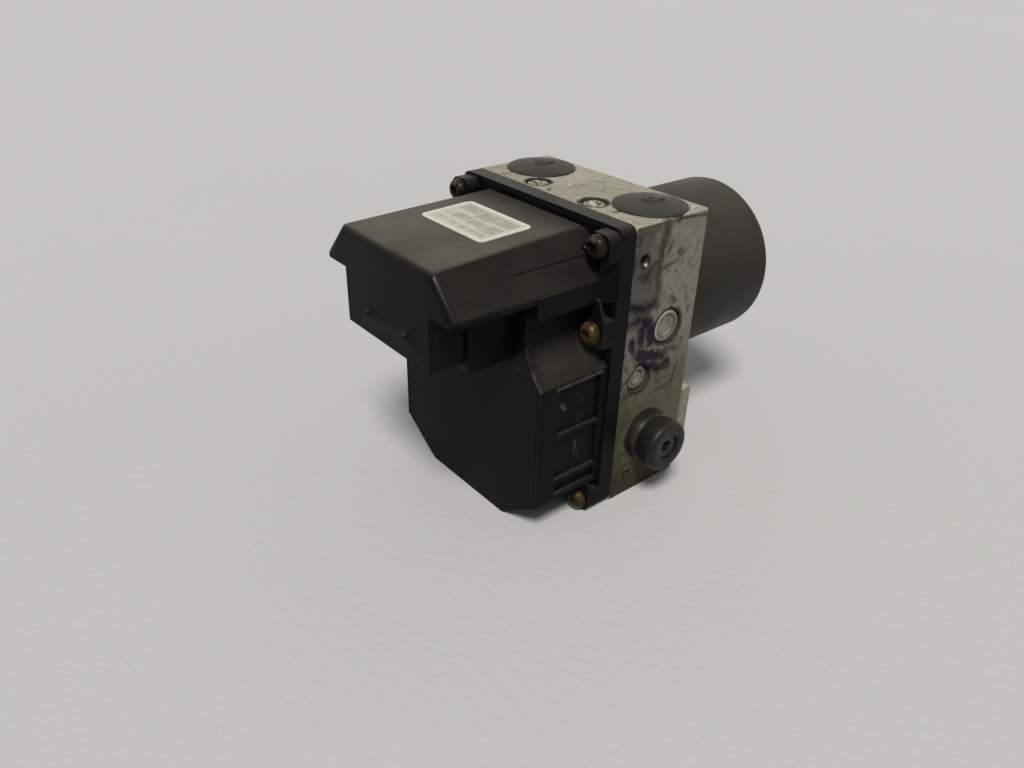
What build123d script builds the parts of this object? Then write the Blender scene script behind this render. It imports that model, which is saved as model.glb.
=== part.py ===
from build123d import *
import os
from math import atan2, degrees, radians, sqrt, tan

# Hydraulic control unit of an anti-lock braking system: valve block, pump motor and control unit.
# Millimetres. The origin is the middle of the valve block's underside, +Z is up, the pump motor
# stands out along +Y and the control unit along -Y.

RIGHT, LEFT, BACK, FRONT = (1, 0, 0), (-1, 0, 0), (0, 1, 0), (0, -1, 0)
UP, DOWN = (0, 0, 1), (0, 0, -1)
SIDES = {"left": -1, "right": 1}

# Valve block, an extruded and machined aluminium body
block_width = 76.6
block_depth = 33.0
block_height = 100.0
block_chamfer = 0.6
pad_thickness = 5.0
pad_bottom = 12.0
pad_top = 33.5
pad_motor_relief = 1.5
block_side = block_width / 2
block_front = -block_depth / 2
block_back = block_depth / 2

# Master cylinder ports in the top, closed by push-in transport caps
master_port_inset = 12.3
master_port_y = 2.4
master_port_radius = 5.5
master_port_depth = 12.0
master_face_radius = 8.0
master_face_depth = 0.4
cap_radius = 12.1
cap_rim = 0.7
cap_dome = 1.1
cap_edge_radius = 0.25
cap_crown_radius = 5.6
cap_button_radius = 2.8
cap_button_height = 0.6
cap_dimple_radius = 0.8
cap_stem_length = 9.0
cap_stem_wall = 1.4
cap_stem_gap = 0.25
cap_barb_height = 0.15
cap_barb_width = 1.2
cap_barb_spacing = 3.2

# Wheel ports in the back, one near each corner
wheel_port_inset = 6.3
wheel_port_lower = 41.5
wheel_port_upper = 80.5
wheel_port_radius = 4.5
wheel_port_depth = 11.0
flare_seat_depth = 2.5
flare_passage_radius = 1.6
flare_passage_depth = 3.0

# Pressed closures of the drilled galleries
top_plug_x = 13.5
top_plug_y = -9.9
top_plug_radius = 4.4
top_plug_length = 5.0
pump_plug_radius = 6.2
pump_plug_length = 6.0
side_plug_y = -7.7
side_plug_z = 46.3
side_plug_radius = 4.9
side_plug_length = 6.0
side_plug_sink = 1.0
plug_sink = 0.3
plug_gap = 0.02
plug_groove_width = 0.9
plug_groove_depth = 0.6
ball_radius = 1.3
upper_ball_y = 4.7
upper_ball_z = 48.1
lower_ball_y = -9.2
lower_ball_z = 8.7
vent_hole_y = -11.6
vent_hole_z = 88.9
vent_hole_radius = 1.9
vent_hole_depth = 6.0

# Rubber mounts on the two sides and the threaded hole underneath
mount_y = -2.0
mount_z = 22.8
mount_length = 11.6
mount_flange_radius = 8.7
mount_flange_length = 3.4
mount_groove_radius = 8.2
mount_groove_length = 1.8
mount_drum_radius = 9.2
mount_edge = 0.9
mount_rounding = 1.8
mount_stud_radius = 4.4
mount_stud_sink = 0.9
mount_thread_radius = 3.0
mount_thread_length = 8.0
mount_socket_width = 4.0
mount_socket_depth = 4.5
mount_gap = 0.03
base_hole_y = 9.0
base_hole_radius = 2.5
base_hole_depth = 12.0

# Pump motor
motor_axis_z = 61.5
motor_radius = 30.2
motor_length = 53.5
motor_wall = 1.8
motor_edge = 3.0
motor_register_depth = 1.0
motor_register_gap = 0.05
motor_boss_radius = 10.5
motor_boss_height = 3.0
shaft_radius = 4.0
shaft_chamfer = 0.5
shaft_end_gap = 0.6
running_gap = 0.02
bearing_width = 6.0
front_bearing_radius = 10.6
rear_bearing_radius = 8.2
bearing_seat_gap = 0.02
magnet_thickness = 3.0
magnet_can_gap = 0.15
magnet_length = 30.0
magnet_span = 140.0
magnet_start = 10.5
core_air_gap = 0.5
core_length = 26.0
core_slots = 8
slot_width = 4.0
slot_depth = 9.0
winding_head = 4.5
winding_slot_gap = 0.15
commutator_radius = 9.0
commutator_length = 8.0
brush_plate_thickness = 4.0
brush_plate_gap = 0.2
brush_plate_bore_gap = 1.0
brush_width = 5.0
brush_length = 9.0
brush_depth = 6.0
brush_gap = 0.05
brush_guide_wall = 1.6

# Pump: eccentric on the motor shaft, ring bearing and two opposed pistons
pump_y = 3.4
pump_offset = 0.9
eccentricity = 1.2
eccentric_radius = 5.5
eccentric_width = 8.0
ring_radius = 8.8
ring_width = 7.0
chamber_gap = 0.4
pump_piston_radius = 4.0
pump_piston_length = 13.0
pump_collar_radius = 4.9
pump_collar_length = 2.0
pump_rest_gap = 0.3
spring_chamber_radius = 5.3
pump_spring_radius = 3.6
pump_spring_wire = 0.9
pump_spring_turns = 3

# Low-pressure accumulators, bored from below
accumulator_x = 16.0
accumulator_y = 5.5
accumulator_radius = 8.5
accumulator_depth = 28.0
accumulator_cap = 3.0
accumulator_cap_sink = 0.4
accumulator_piston_length = 10.0
accumulator_crown = 3.0
accumulator_wall = 1.6
accumulator_gap = 0.03
accumulator_stop_gap = 0.3
accumulator_spring_radius = 5.6
accumulator_spring_wire = 1.1
accumulator_spring_turns = 4

# Solenoid valves: two rows of four cartridges in the front face, coils in the control unit
valve_count = 4
valve_edge_margin = 13.7
outlet_valve_height = 18.0
inlet_valve_height = 36.0
valve_radius = 4.5
valve_depth = 8.0
valve_tip_radius = 3.2
valve_tip_depth = 3.0
valve_flange_radius = 5.4
valve_flange_depth = 1.2
valve_dome_radius = 3.1
valve_dome_length = 20.0
valve_dome_edge = 1.8
coil_radius = 7.6
coil_length = 17.0
coil_bore_gap = 0.25
coil_yoke = 1.0
coil_stand_off = 2.5

# Control unit housing, one moulding: mounting flange, coil box, hood and connector shroud
flange_thickness = 6.0
flange_overhang = 0.2
flange_width = block_width + 2 * flange_overhang
flange_top = 100.5
flange_corner = 3.0
flange_front = block_front - flange_thickness
housing_wall = 2.4
box_side_inset = 1.2
box_half_width = block_side - box_side_inset
box_chamfer_height = 11.7
box_chamfer_run = 17.2
box_shoulder_foot = 55.3
box_shoulder_sag = 1.5
box_shoulder_top = 69.0
box_neck_inset = 9.3
box_neck_half_width = block_side - box_neck_inset
box_front = -50.2
hood_side_inset = 4.1
hood_side_half_width = block_side - hood_side_inset
hood_side_bottom = 77.5
hood_slope_foot = 84.7
hood_lip_bottom = 83.0
hood_front = -79.7
hood_top_back = 98.0
hood_top_front = 96.2
hood_slope_run_back = 11.8
hood_slope_run_front = 10.6
hood_top_half_back = hood_side_half_width - hood_slope_run_back
hood_top_half_front = hood_side_half_width - hood_slope_run_front
hood_edge = 2.2
hood_lip_start = -52.5
channel_width = 1.6
channel_depth = 1.2
side_recess_depth = 1.5
side_recess_front = -42.5
side_recess_back = -24.5
side_recess_bottom = 13.5
side_recess_top = 53.4
lower_rib_height = 18.9
upper_rib_height = 36.0
side_rib_thickness = 1.4
gusset_width = 3.8
gusset_depth = 4.0
gusset_bottom = 77.5
gusset_top = 91.5
slope_groove_height = 91.0
slope_groove_depth = 0.5
slope_groove_width = 0.7
slope_groove_front = -56.0
shroud_half_width = 22.4
shroud_bottom = 65.0
shroud_wall = 2.4
shroud_floor = 80.5
shroud_roof = shroud_floor + shroud_wall
shroud_back = -56.0
shroud_root_bottom = 61.5
shroud_root_front = -67.2
shroud_root_step = 1.2
shroud_pip_x = 10.0
shroud_pip_z = 72.3
shroud_pip_radius = 1.3
shroud_pip_height = 0.9

# Control unit screws and their bosses
screw_inset = 4.3
screw_x = block_side - screw_inset
lower_screw_height = 3.9
middle_screw_height = 67.6
upper_screw_drop = 5.0
upper_screw_height = flange_top - upper_screw_drop
boss_radius = 4.5
boss_step = 1.1
boss_front = -27.5
screw_head_radius = 3.7
screw_head_height = 3.0
screw_head_edge = 1.3
screw_radius = 2.0
screw_hole_gap = 0.25
screw_thread_radius = 1.7
screw_thread_depth = 13.0
screw_end_gap = 1.0
screw_access_gap = 0.3
screw_socket_radius = 1.6
screw_socket_depth = 1.8
web_thickness = 1.3
upper_web_height = 94.2
upper_web_reach = 7.5
upper_web_fall = 2.2

# Lid, label, board, pins and gasket of the control unit
lid_thickness = 2.2
lid_gap = 0.25
lid_border = 1.2
lid_corner_run = 5.4
lid_seat = 2.2
lid_top = 60.3
label_width = 31.0
label_length = 19.8
label_middle_y = -46.7
label_corner = 2.0
label_thickness = 0.3
board_thickness = 1.6
board_gap = 1.0
board_front = -45.6
gasket_width = 1.2
gasket_depth = 0.8
gasket_inset = 1.4
pin_columns = 13
pin_pitch = 2.8
front_pin_row = -73.5
rear_pin_row = -69.0
pin_size = 0.8
pin_length = 9.0
power_pin_count = 4
power_pin_pitch = 6.0
power_pin_y = -61.5
power_pin_width = 2.8


def moved(at, along, distance):
    return tuple(start + step * distance for start, step in zip(at, along))


def rod(radius, length, at, along):
    """A cylinder that starts at a point and runs along a direction."""
    return extrude(Plane(origin=at, z_dir=along) * Circle(radius), length)


def tube(outer, inner, length, at, along):
    return rod(outer, length, at, along) - rod(inner, length, at, along)


def cone(start_radius, end_radius, length, at, along):
    frame = Plane(origin=at, z_dir=along)
    return frame * Pos(0, 0, length / 2) * Cone(start_radius, end_radius, length)


def block_between(x0, x1, y0, y1, z0, z1):
    middle = Pos((x0 + x1) / 2, (y0 + y1) / 2, (z0 + z1) / 2)
    return middle * Box(abs(x1 - x0), abs(y1 - y0), abs(z1 - z0))


def front_prism(face, from_y, length):
    """Extrudes a face drawn in X and Z from a depth towards the front."""
    frame = Plane(origin=(0, from_y, 0), x_dir=(1, 0, 0), z_dir=FRONT)
    return extrude(frame * face, length)


def both_halves(half_face):
    return half_face + mirror(half_face, Plane.YZ)


def inset_face(face, inset):
    return offset(face, amount=-inset, kind=Kind.INTERSECTION) if inset else face


def turned(profile, at, along):
    """Revolves a profile of (distance along, radius) points about a line."""
    side = (0, 0, 1) if abs(along[2]) < 0.5 else (1, 0, 0)
    frame = Plane(origin=at, x_dir=along, z_dir=Vector(*along).cross(Vector(*side)))
    face = frame * make_face(Polyline(*profile, close=True))
    return revolve(face, Axis(at, along))


def helix_spring(radius, wire, height, turns, at, along):
    """A compression spring of square wire with its ends left open."""
    pitch = (height - wire) / turns
    path = Helix(pitch, height - wire, radius)
    start = path @ 0
    section = Plane(origin=start, x_dir=(1, 0, 0), z_dir=path % 0) * Rectangle(wire, wire)
    coil = sweep(section, path=path, is_frenet=True)
    return Plane(origin=at, z_dir=along) * Pos(0, 0, wire / 2) * coil


def save(shape, node):
    export_step(shape, f"parts/{node}.step")


# Valve block

def flared_port(radius, depth, at, along):
    """A threaded line port: tapping bore, flare seat and passage, along the way it is drilled."""
    seat = moved(at, along, depth)
    passage = moved(seat, along, flare_seat_depth)
    bore = rod(radius, depth, at, along)
    bore += cone(radius, flare_passage_radius, flare_seat_depth, seat, along)
    return bore + rod(flare_passage_radius, flare_passage_depth, passage, along)


def block_body():
    body = block_between(-block_side, block_side, block_front, block_back, 0, block_height)
    body = chamfer(body.edges(), block_chamfer)
    pad = block_between(-block_side, block_side, block_back, block_back + pad_thickness,
                        pad_bottom, pad_top)
    pad = chamfer(pad.faces().sort_by(Axis.Y)[-1].edges(), block_chamfer)
    relief = rod(motor_radius + pad_motor_relief, pad_thickness, (0, block_back, motor_axis_z), BACK)
    return body + (pad - relief)


def top_bores():
    bores = Part()
    for side in SIDES.values():
        mouth = (side * master_port_x(), master_port_y, block_height)
        bores += flared_port(master_port_radius, master_port_depth, mouth, DOWN)
        bores += rod(master_face_radius, master_face_depth, mouth, DOWN)
        plug_mouth = (side * top_plug_x, top_plug_y, block_height)
        bores += rod(top_plug_radius + plug_gap, top_plug_length + plug_sink, plug_mouth, DOWN)
    return bores


def back_bores():
    bores = Part()
    for side in SIDES.values():
        for height in (wheel_port_lower, wheel_port_upper):
            mouth = (side * (block_side - wheel_port_inset), block_back, height)
            bores += flared_port(wheel_port_radius, wheel_port_depth, mouth, FRONT)
    axis_at = (0, block_back, motor_axis_z)
    bores += tube(motor_radius + motor_register_gap, motor_radius - motor_wall - motor_register_gap,
                  motor_register_depth, axis_at, FRONT)
    bores += rod(front_bearing_radius + bearing_seat_gap, block_back - chamber_back(), axis_at, FRONT)
    bores += rod(chamber_radius(), block_back - chamber_front(), axis_at, FRONT)
    return bores


def side_bores():
    bores = Part()
    for side in SIDES.values():
        inward = (-side, 0, 0)
        pump_mouth = (side * block_side, pump_y, pump_height())
        bores += rod(pump_plug_radius + plug_gap, plug_sink + pump_plug_length, pump_mouth, inward)
        bores += rod(spring_chamber_radius, block_side - spring_chamber_start(), pump_mouth, inward)
        bores += rod(pump_piston_radius + running_gap, block_side, pump_mouth, inward)
        plug_mouth = (side * block_side, side_plug_y, side_plug_z)
        bores += rod(side_plug_radius + plug_gap, side_plug_sink + side_plug_length, plug_mouth, inward)
        for place_y, place_z in ball_places():
            ball_mouth = (side * block_side, place_y, place_z)
            bores += rod(ball_radius + plug_gap, 2 * ball_radius + plug_sink, ball_mouth, inward)
        bores += rod(vent_hole_radius, vent_hole_depth, (side * block_side, vent_hole_y, vent_hole_z), inward)
        mount_mouth = (side * block_side, mount_y, mount_z)
        bores += rod(mount_thread_radius + mount_gap, mount_thread_length + mount_gap, mount_mouth, inward)
    return bores


def bottom_bores():
    bores = rod(base_hole_radius, base_hole_depth, (0, base_hole_y, 0), UP)
    for side in SIDES.values():
        mouth = (side * accumulator_x, accumulator_y, 0)
        bores += rod(accumulator_radius + accumulator_gap, accumulator_depth, mouth, UP)
    return bores


def front_bores():
    bores = Part()
    for column in valve_columns():
        for height in (outlet_valve_height, inlet_valve_height):
            mouth = (column, block_front, height)
            bores += rod(valve_flange_radius + plug_gap, valve_flange_depth + plug_gap, mouth, BACK)
            bores += rod(valve_radius + plug_gap, valve_depth + plug_gap, mouth, BACK)
            bores += rod(valve_tip_radius + plug_gap, valve_depth + valve_tip_depth + plug_gap, mouth, BACK)
    for x, height in screw_places():
        bores += rod(screw_thread_radius, screw_thread_depth, (x, block_front, height), BACK)
    return bores


def valve_block():
    bores = top_bores() + back_bores() + side_bores() + bottom_bores() + front_bores()
    return block_body() - bores


# Sizes that follow from the driving ones

def pump_height():
    return motor_axis_z + pump_offset


def chamber_radius():
    return ring_radius + eccentricity + chamber_gap


def chamber_back():
    return block_back - bearing_width - shaft_end_gap


def chamber_front():
    return pump_y - eccentric_width / 2 - shaft_end_gap


def piston_rest():
    """Inner end of the pump pistons at the outer end of their stroke."""
    return ring_radius + eccentricity + pump_rest_gap


def collar_start():
    return piston_rest() + pump_piston_length - pump_collar_length


def spring_chamber_start():
    return collar_start() - eccentricity - pump_rest_gap


def master_port_x():
    return block_side - master_port_inset


def ball_places():
    """Depth and height of the sealing balls in each side."""
    return [(upper_ball_y, upper_ball_z), (lower_ball_y, lower_ball_z)]


def evenly_spread(count, pitch):
    return [(index - (count - 1) / 2) * pitch for index in range(count)]


def valve_columns():
    return evenly_spread(valve_count, (block_width - 2 * valve_edge_margin) / (valve_count - 1))


def screw_places():
    heights = (lower_screw_height, middle_screw_height, upper_screw_height)
    return [(side * screw_x, height) for side in SIDES.values() for height in heights]


# Closures

def port_cap(side):
    """A push-in plastic cap: thin domed disc with a button, and a hollow barbed stem."""
    stem = master_port_radius - cap_stem_gap
    top = cap_rim + cap_dome
    disc = turned([(0, 0), (0, cap_radius), (cap_rim, cap_radius), (top, cap_crown_radius), (top, 0)],
                  (0, 0, block_height), UP)
    rim = disc.edges().filter_by(GeomType.CIRCLE).group_by(SortBy.RADIUS)[-1]
    disc = fillet(rim.sort_by(Axis.Z)[-1], cap_edge_radius)
    disc += rod(cap_button_radius, cap_button_height + top, (0, 0, block_height), UP)
    disc -= rod(cap_dimple_radius, cap_button_height, (0, 0, block_height + top + cap_button_height), DOWN)
    disc += tube(stem, stem - cap_stem_wall, cap_stem_length, (0, 0, block_height), DOWN)
    for number in (1, 2):
        barb_at = (0, 0, block_height - number * cap_barb_spacing)
        disc += tube(stem + cap_barb_height, stem - cap_stem_wall, cap_barb_width, barb_at, DOWN)
    return Pos(side * master_port_x(), master_port_y, 0) * disc


def pressed_plug(radius, length, sink, at, inward):
    """A steel plug pressed in below the surface, with a ring groove left by the press tool."""
    face = moved(at, inward, sink)
    plug = rod(radius, length, face, inward)
    ring = tube(radius - plug_groove_width, radius - 2 * plug_groove_width, plug_groove_depth, face, inward)
    return plug - ring


def top_plugs():
    plugs = [pressed_plug(top_plug_radius, top_plug_length, plug_sink,
                          (side * top_plug_x, top_plug_y, block_height), DOWN) for side in SIDES.values()]
    return Compound(plugs)


def pump_plug(side):
    mouth = (side * block_side, pump_y, pump_height())
    return pressed_plug(pump_plug_radius, pump_plug_length, plug_sink, mouth, (-side, 0, 0))


def side_plug(side):
    mouth = (side * block_side, side_plug_y, side_plug_z)
    return pressed_plug(side_plug_radius, side_plug_length, side_plug_sink, mouth, (-side, 0, 0))


def sealing_balls():
    balls = []
    for side in SIDES.values():
        for place_y, place_z in ball_places():
            centre = side * (block_side - ball_radius - plug_sink)
            balls.append(Pos(centre, place_y, place_z) * Sphere(ball_radius))
    return Compound(balls)


# Rubber mounts

def rubber_mount(side):
    """A grooved rubber bush; the bracket's slot snaps into the groove."""
    groove_end = mount_flange_length + mount_groove_length
    bore = mount_stud_radius + mount_gap
    profile = [(0, bore), (0, mount_flange_radius), (mount_flange_length - mount_edge, mount_flange_radius),
               (mount_flange_length, mount_groove_radius), (groove_end, mount_groove_radius),
               (groove_end + mount_edge, mount_drum_radius), (mount_length, mount_drum_radius),
               (mount_length, bore)]
    bush = turned(profile, (side * block_side, mount_y, mount_z), (side, 0, 0))
    rims = bush.edges().filter_by(GeomType.CIRCLE).group_by(SortBy.RADIUS)[-1]
    return fillet(rims.sort_by(lambda rim: abs(rim.center().X))[-1], mount_rounding)


def mount_stud(side):
    """A shouldered stud with a hexagon socket that clamps the rubber to the block."""
    outward = (side, 0, 0)
    foot = (side * block_side, mount_y, mount_z)
    head = side * (block_side + mount_length - mount_stud_sink)
    stud = rod(mount_stud_radius, mount_length - mount_stud_sink, foot, outward)
    stud += rod(mount_thread_radius, mount_thread_length, foot, (-side, 0, 0))
    socket_frame = Plane(origin=(head, mount_y, mount_z), z_dir=(-side, 0, 0))
    socket = extrude(socket_frame * RegularPolygon(mount_socket_width / 2, 6, major_radius=False),
                     mount_socket_depth)
    return stud - socket


# Pump motor

def motor_can():
    """A deep-drawn steel can, open towards the block, with a bearing boss in its end."""
    inner = motor_radius - motor_wall
    start = block_back - motor_register_depth
    can = rod(motor_radius, motor_length + motor_register_depth, (0, start, motor_axis_z), BACK)
    can = fillet(can.faces().sort_by(Axis.Y)[-1].edges(), motor_edge)
    end = block_back + motor_length
    can -= rod(inner, end - motor_wall - start, (0, start, motor_axis_z), BACK)
    boss = rod(motor_boss_radius, motor_boss_height, (0, end, motor_axis_z), BACK)
    can += fillet(boss.faces().sort_by(Axis.Y)[-1].edges(), motor_boss_height / 2)
    seat_at = (0, end - motor_wall, motor_axis_z)
    return can - rod(rear_bearing_radius + bearing_seat_gap, motor_boss_height, seat_at, BACK)


def rear_bearing():
    end = block_back + motor_length + motor_boss_height - motor_wall
    return tube(rear_bearing_radius, shaft_radius + running_gap, bearing_width,
                (0, end, motor_axis_z), FRONT)


def front_bearing():
    return tube(front_bearing_radius, shaft_radius + running_gap, bearing_width,
                (0, block_back, motor_axis_z), FRONT)


def magnet(side):
    """One half of the field: a ceramic arc glued into the can."""
    outer = motor_radius - motor_wall - magnet_can_gap
    start = block_back + magnet_start
    ring = tube(outer, outer - magnet_thickness, magnet_length, (0, start, motor_axis_z), BACK)
    reach = side * motor_radius
    rise = motor_radius * tan(radians(magnet_span / 2))
    wedge = make_face(Polyline((0, 0), (reach, rise), (reach, -rise), close=True))
    keep = front_prism(Pos(0, motor_axis_z) * wedge, start + magnet_length, magnet_length)
    return ring & keep


def core_radius():
    return motor_radius - motor_wall - magnet_can_gap - magnet_thickness - core_air_gap


def core_start():
    return block_back + magnet_start + (magnet_length - core_length) / 2


def slot_bars(width, root, top, length, start):
    """Straight bars round the shaft, one for each slot of the core."""
    bars = Part()
    for index in range(core_slots):
        turn = Rot(0, index * 360 / core_slots, 0)
        bar = block_between(-width / 2, width / 2, start, start + length, root, top)
        bars += Pos(0, 0, motor_axis_z) * turn * bar
    return bars


def armature_core():
    core = tube(core_radius(), shaft_radius, core_length, (0, core_start(), motor_axis_z), BACK)
    slots = slot_bars(slot_width, core_radius() - slot_depth, motor_radius, core_length, core_start())
    return core - slots


def armature_winding():
    """The copper in the slots and the two heads that join it."""
    root = core_radius() - slot_depth
    top = core_radius() - winding_slot_gap * 4
    length = core_length + 2 * winding_head
    start = core_start() - winding_head
    bars = slot_bars(slot_width - 2 * winding_slot_gap, root + winding_slot_gap, top, length, start)
    heads = Part()
    for head_start in (start, core_start() + core_length):
        heads += tube(top, root, winding_head, (0, head_start, motor_axis_z), BACK)
    return heads + bars


def commutator():
    start = core_start() - winding_head - commutator_length
    return tube(commutator_radius, shaft_radius, commutator_length, (0, start, motor_axis_z), BACK)


def motor_shaft():
    """The shaft with the pump's eccentric turned on its overhung end."""
    start = pump_y - eccentric_width / 2
    end = block_back + motor_length + motor_boss_height - motor_wall - shaft_end_gap
    shaft = rod(shaft_radius, end - start, (0, start, motor_axis_z), BACK)
    shaft = chamfer(shaft.faces().sort_by(Axis.Y)[-1].edges(), shaft_chamfer)
    eccentric_at = (0, start, motor_axis_z + eccentricity)
    return shaft + rod(eccentric_radius, eccentric_width, eccentric_at, BACK)


def eccentric_ring():
    start = pump_y - ring_width / 2
    return tube(ring_radius, eccentric_radius + running_gap, ring_width,
                (0, start, motor_axis_z + eccentricity), BACK)


def brush_plate():
    """The moulded plate at the can's mouth that guides the two brushes."""
    inner = motor_radius - motor_wall - brush_plate_gap
    start = block_back + brush_plate_gap
    bore = commutator_radius + brush_plate_bore_gap
    plate = tube(inner, bore, brush_plate_thickness, (0, start, motor_axis_z), BACK)
    guide_end = brush_middle() + brush_depth / 2
    guide = brush_width / 2 + brush_guide_wall
    slot = brush_width / 2 + brush_gap
    for way in (-1, 1):
        near = motor_axis_z + way * (bore + brush_guide_wall)
        far = motor_axis_z + way * (inner - brush_guide_wall)
        plate += block_between(-guide, guide, start, guide_end, near, far)
        plate -= block_between(-slot, slot, brush_middle() - brush_depth / 2 - brush_gap, guide_end,
                               motor_axis_z, far - way * brush_guide_wall)
    return plate


def brush_middle():
    return core_start() - winding_head - commutator_length / 2


def brush(way):
    near = motor_axis_z + way * (commutator_radius + brush_gap)
    far = near + way * brush_length
    return block_between(-brush_width / 2, brush_width / 2, brush_middle() - brush_depth / 2,
                         brush_middle() + brush_depth / 2, near, far)


# Pump

def pump_piston(side):
    inner_end = (side * piston_rest(), pump_y, pump_height())
    piston = rod(pump_piston_radius, pump_piston_length, inner_end, (side, 0, 0))
    collar_at = (side * collar_start(), pump_y, pump_height())
    return piston + rod(pump_collar_radius, pump_collar_length, collar_at, (side, 0, 0))


def pump_spring(side):
    outer_end = block_side - plug_sink - pump_plug_length
    inner_end = piston_rest() + pump_piston_length
    return helix_spring(pump_spring_radius, pump_spring_wire, outer_end - inner_end, pump_spring_turns,
                        (side * inner_end, pump_y, pump_height()), (side, 0, 0))


# Accumulators

def accumulator_piston(side):
    """A cup-shaped piston at the top of its bore, where the spring holds it without pressure."""
    crown = accumulator_depth - accumulator_stop_gap
    at = (side * accumulator_x, accumulator_y, crown)
    piston = rod(accumulator_radius, accumulator_piston_length, at, DOWN)
    inside = (side * accumulator_x, accumulator_y, crown - accumulator_crown)
    return piston - rod(accumulator_radius - accumulator_wall, accumulator_piston_length, inside, DOWN)


def accumulator_spring(side):
    foot = accumulator_cap_sink + accumulator_cap
    height = accumulator_depth - accumulator_stop_gap - accumulator_crown - foot
    at = (side * accumulator_x, accumulator_y, foot)
    return helix_spring(accumulator_spring_radius, accumulator_spring_wire, height,
                        accumulator_spring_turns, at, UP)


def accumulator_lid(side):
    at = (side * accumulator_x, accumulator_y, 0)
    return pressed_plug(accumulator_radius, accumulator_cap, accumulator_cap_sink, at, UP)


# Solenoid valves

def valve_cartridge(column, height):
    """A sealed valve: stepped steel body in the block and a drawn dome in front of it."""
    mouth = (column, block_front, height)
    body = rod(valve_flange_radius, valve_flange_depth, mouth, BACK)
    body += rod(valve_radius, valve_depth, mouth, BACK)
    body += rod(valve_tip_radius, valve_depth + valve_tip_depth, mouth, BACK)
    dome = rod(valve_dome_radius, valve_dome_length, mouth, FRONT)
    return body + fillet(dome.faces().sort_by(Axis.Y)[0].edges(), valve_dome_edge)


def valve_coil(column, height):
    """A winding between two yoke discs, slipped over the valve's dome."""
    bore = valve_dome_radius + coil_bore_gap
    start = block_front - coil_stand_off
    coil = rod(coil_radius - coil_yoke, coil_length, (column, start, height), FRONT)
    for yoke_start in (start, start - coil_length + coil_yoke):
        coil += rod(coil_radius, coil_yoke, (column, yoke_start, height), FRONT)
    return coil - rod(bore, coil_length, (column, start, height), FRONT)


# Control unit housing

def box_outline(inset):
    """The coil box's section in X and Z; inset moves every wall inward."""
    knee = (box_half_width, box_shoulder_foot)
    neck = (box_neck_half_width, box_shoulder_top)
    half = Polyline((0, 0), (box_half_width - box_chamfer_run, 0), (box_half_width, box_chamfer_height), knee)
    half += SagittaArc(knee, neck, box_shoulder_sag)
    half += Polyline(neck, (box_neck_half_width, hood_side_bottom), (hood_side_half_width, hood_side_bottom),
                     (hood_side_half_width, hood_slope_foot), (0, hood_slope_foot), (0, 0))
    return inset_face(both_halves(make_face(half)), inset)


def coil_box():
    """The box between flange and front face, under the back part of the hood."""
    return front_prism(box_outline(0), flange_front, flange_front - box_front)


def hood_section(half_top, top, inset, bottom):
    """The roof's outline in X and Z; inset moves side, slope and top inward."""
    side = hood_side_half_width - inset
    rise = hood_top_back - hood_slope_foot
    run = hood_side_half_width - hood_top_half_back
    slope = sqrt(rise ** 2 + run ** 2)
    foot = hood_slope_foot - inset * (slope - rise) / run
    crest = half_top - inset * (slope - run) / rise
    points = [(side, bottom), (side, foot), (crest, top - inset)]
    mirrored = [(-x, z) for x, z in reversed(points)]
    return make_face(Polyline(*points, *mirrored, close=True))


def hood_top_at(y):
    """Height of the hood's top, which falls gently towards the front."""
    share = (flange_front - y) / (flange_front - hood_front)
    return hood_top_back + share * (hood_top_front - hood_top_back)


def roof_loft(inset, bottom, back, front):
    """The hood's form between two depths."""
    sections = []
    for y in (back, front):
        share = (flange_front - y) / (flange_front - hood_front)
        half_top = hood_top_half_back + share * (hood_top_half_front - hood_top_half_back)
        plane = Plane(origin=(0, y, 0), x_dir=(1, 0, 0), z_dir=FRONT)
        sections.append(plane * hood_section(half_top, hood_top_at(y), inset, bottom))
    return loft(sections, ruled=True)


def hood():
    """The roof over coil box and connector, with rounded front and long edges."""
    roof = roof_loft(0, hood_lip_bottom, flange_front, hood_front)
    lowest = hood_slope_foot - hood_edge / 2
    upper = roof.edges().filter_by(lambda edge: edge.center().Z > lowest)
    return fillet(upper.filter_by(lambda edge: edge.center().Y < flange_front - hood_edge), hood_edge)


def hood_hollows():
    """Inside the roof: over the coil box, over the connector, and the two wings that are open below."""
    inside = roof_loft(housing_wall, shroud_floor, block_front, hood_front + housing_wall)
    over_box = block_between(-block_width, block_width, box_front + housing_wall, block_front,
                             hood_lip_bottom, flange_top)
    half = shroud_half_width - shroud_wall
    over_shroud = block_between(-half, half, hood_front, block_front, shroud_roof, flange_top)
    hollows = (inside & over_box) + (inside & over_shroud)
    for side in SIDES.values():
        wing = block_between(side * shroud_half_width, side * block_width, hood_front, box_front,
                             shroud_floor, flange_top)
        hollows += inside & wing
    return hollows


def connector_shroud():
    """The socket under the hood, open downwards."""
    shroud = block_between(-shroud_half_width, shroud_half_width, hood_front, box_front, shroud_bottom,
                           shroud_roof)
    root_half = shroud_half_width + shroud_root_step
    shroud += block_between(-root_half, root_half, shroud_root_front, box_front, shroud_root_bottom,
                            hood_lip_bottom)
    for side in SIDES.values():
        pip_at = (side * shroud_pip_x, hood_front, shroud_pip_z)
        shroud += cone(shroud_pip_radius, shroud_pip_radius / 2, shroud_pip_height, pip_at, FRONT)
    return shroud


def shroud_mouth():
    half = shroud_half_width - shroud_wall
    return block_between(-half, half, hood_front + shroud_wall, shroud_back, shroud_root_bottom, shroud_floor)


def mounting_flange():
    plate = RectangleRounded(flange_width, flange_top, flange_corner)
    return front_prism(Pos(0, flange_top / 2) * plate, block_front, flange_thickness)


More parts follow.
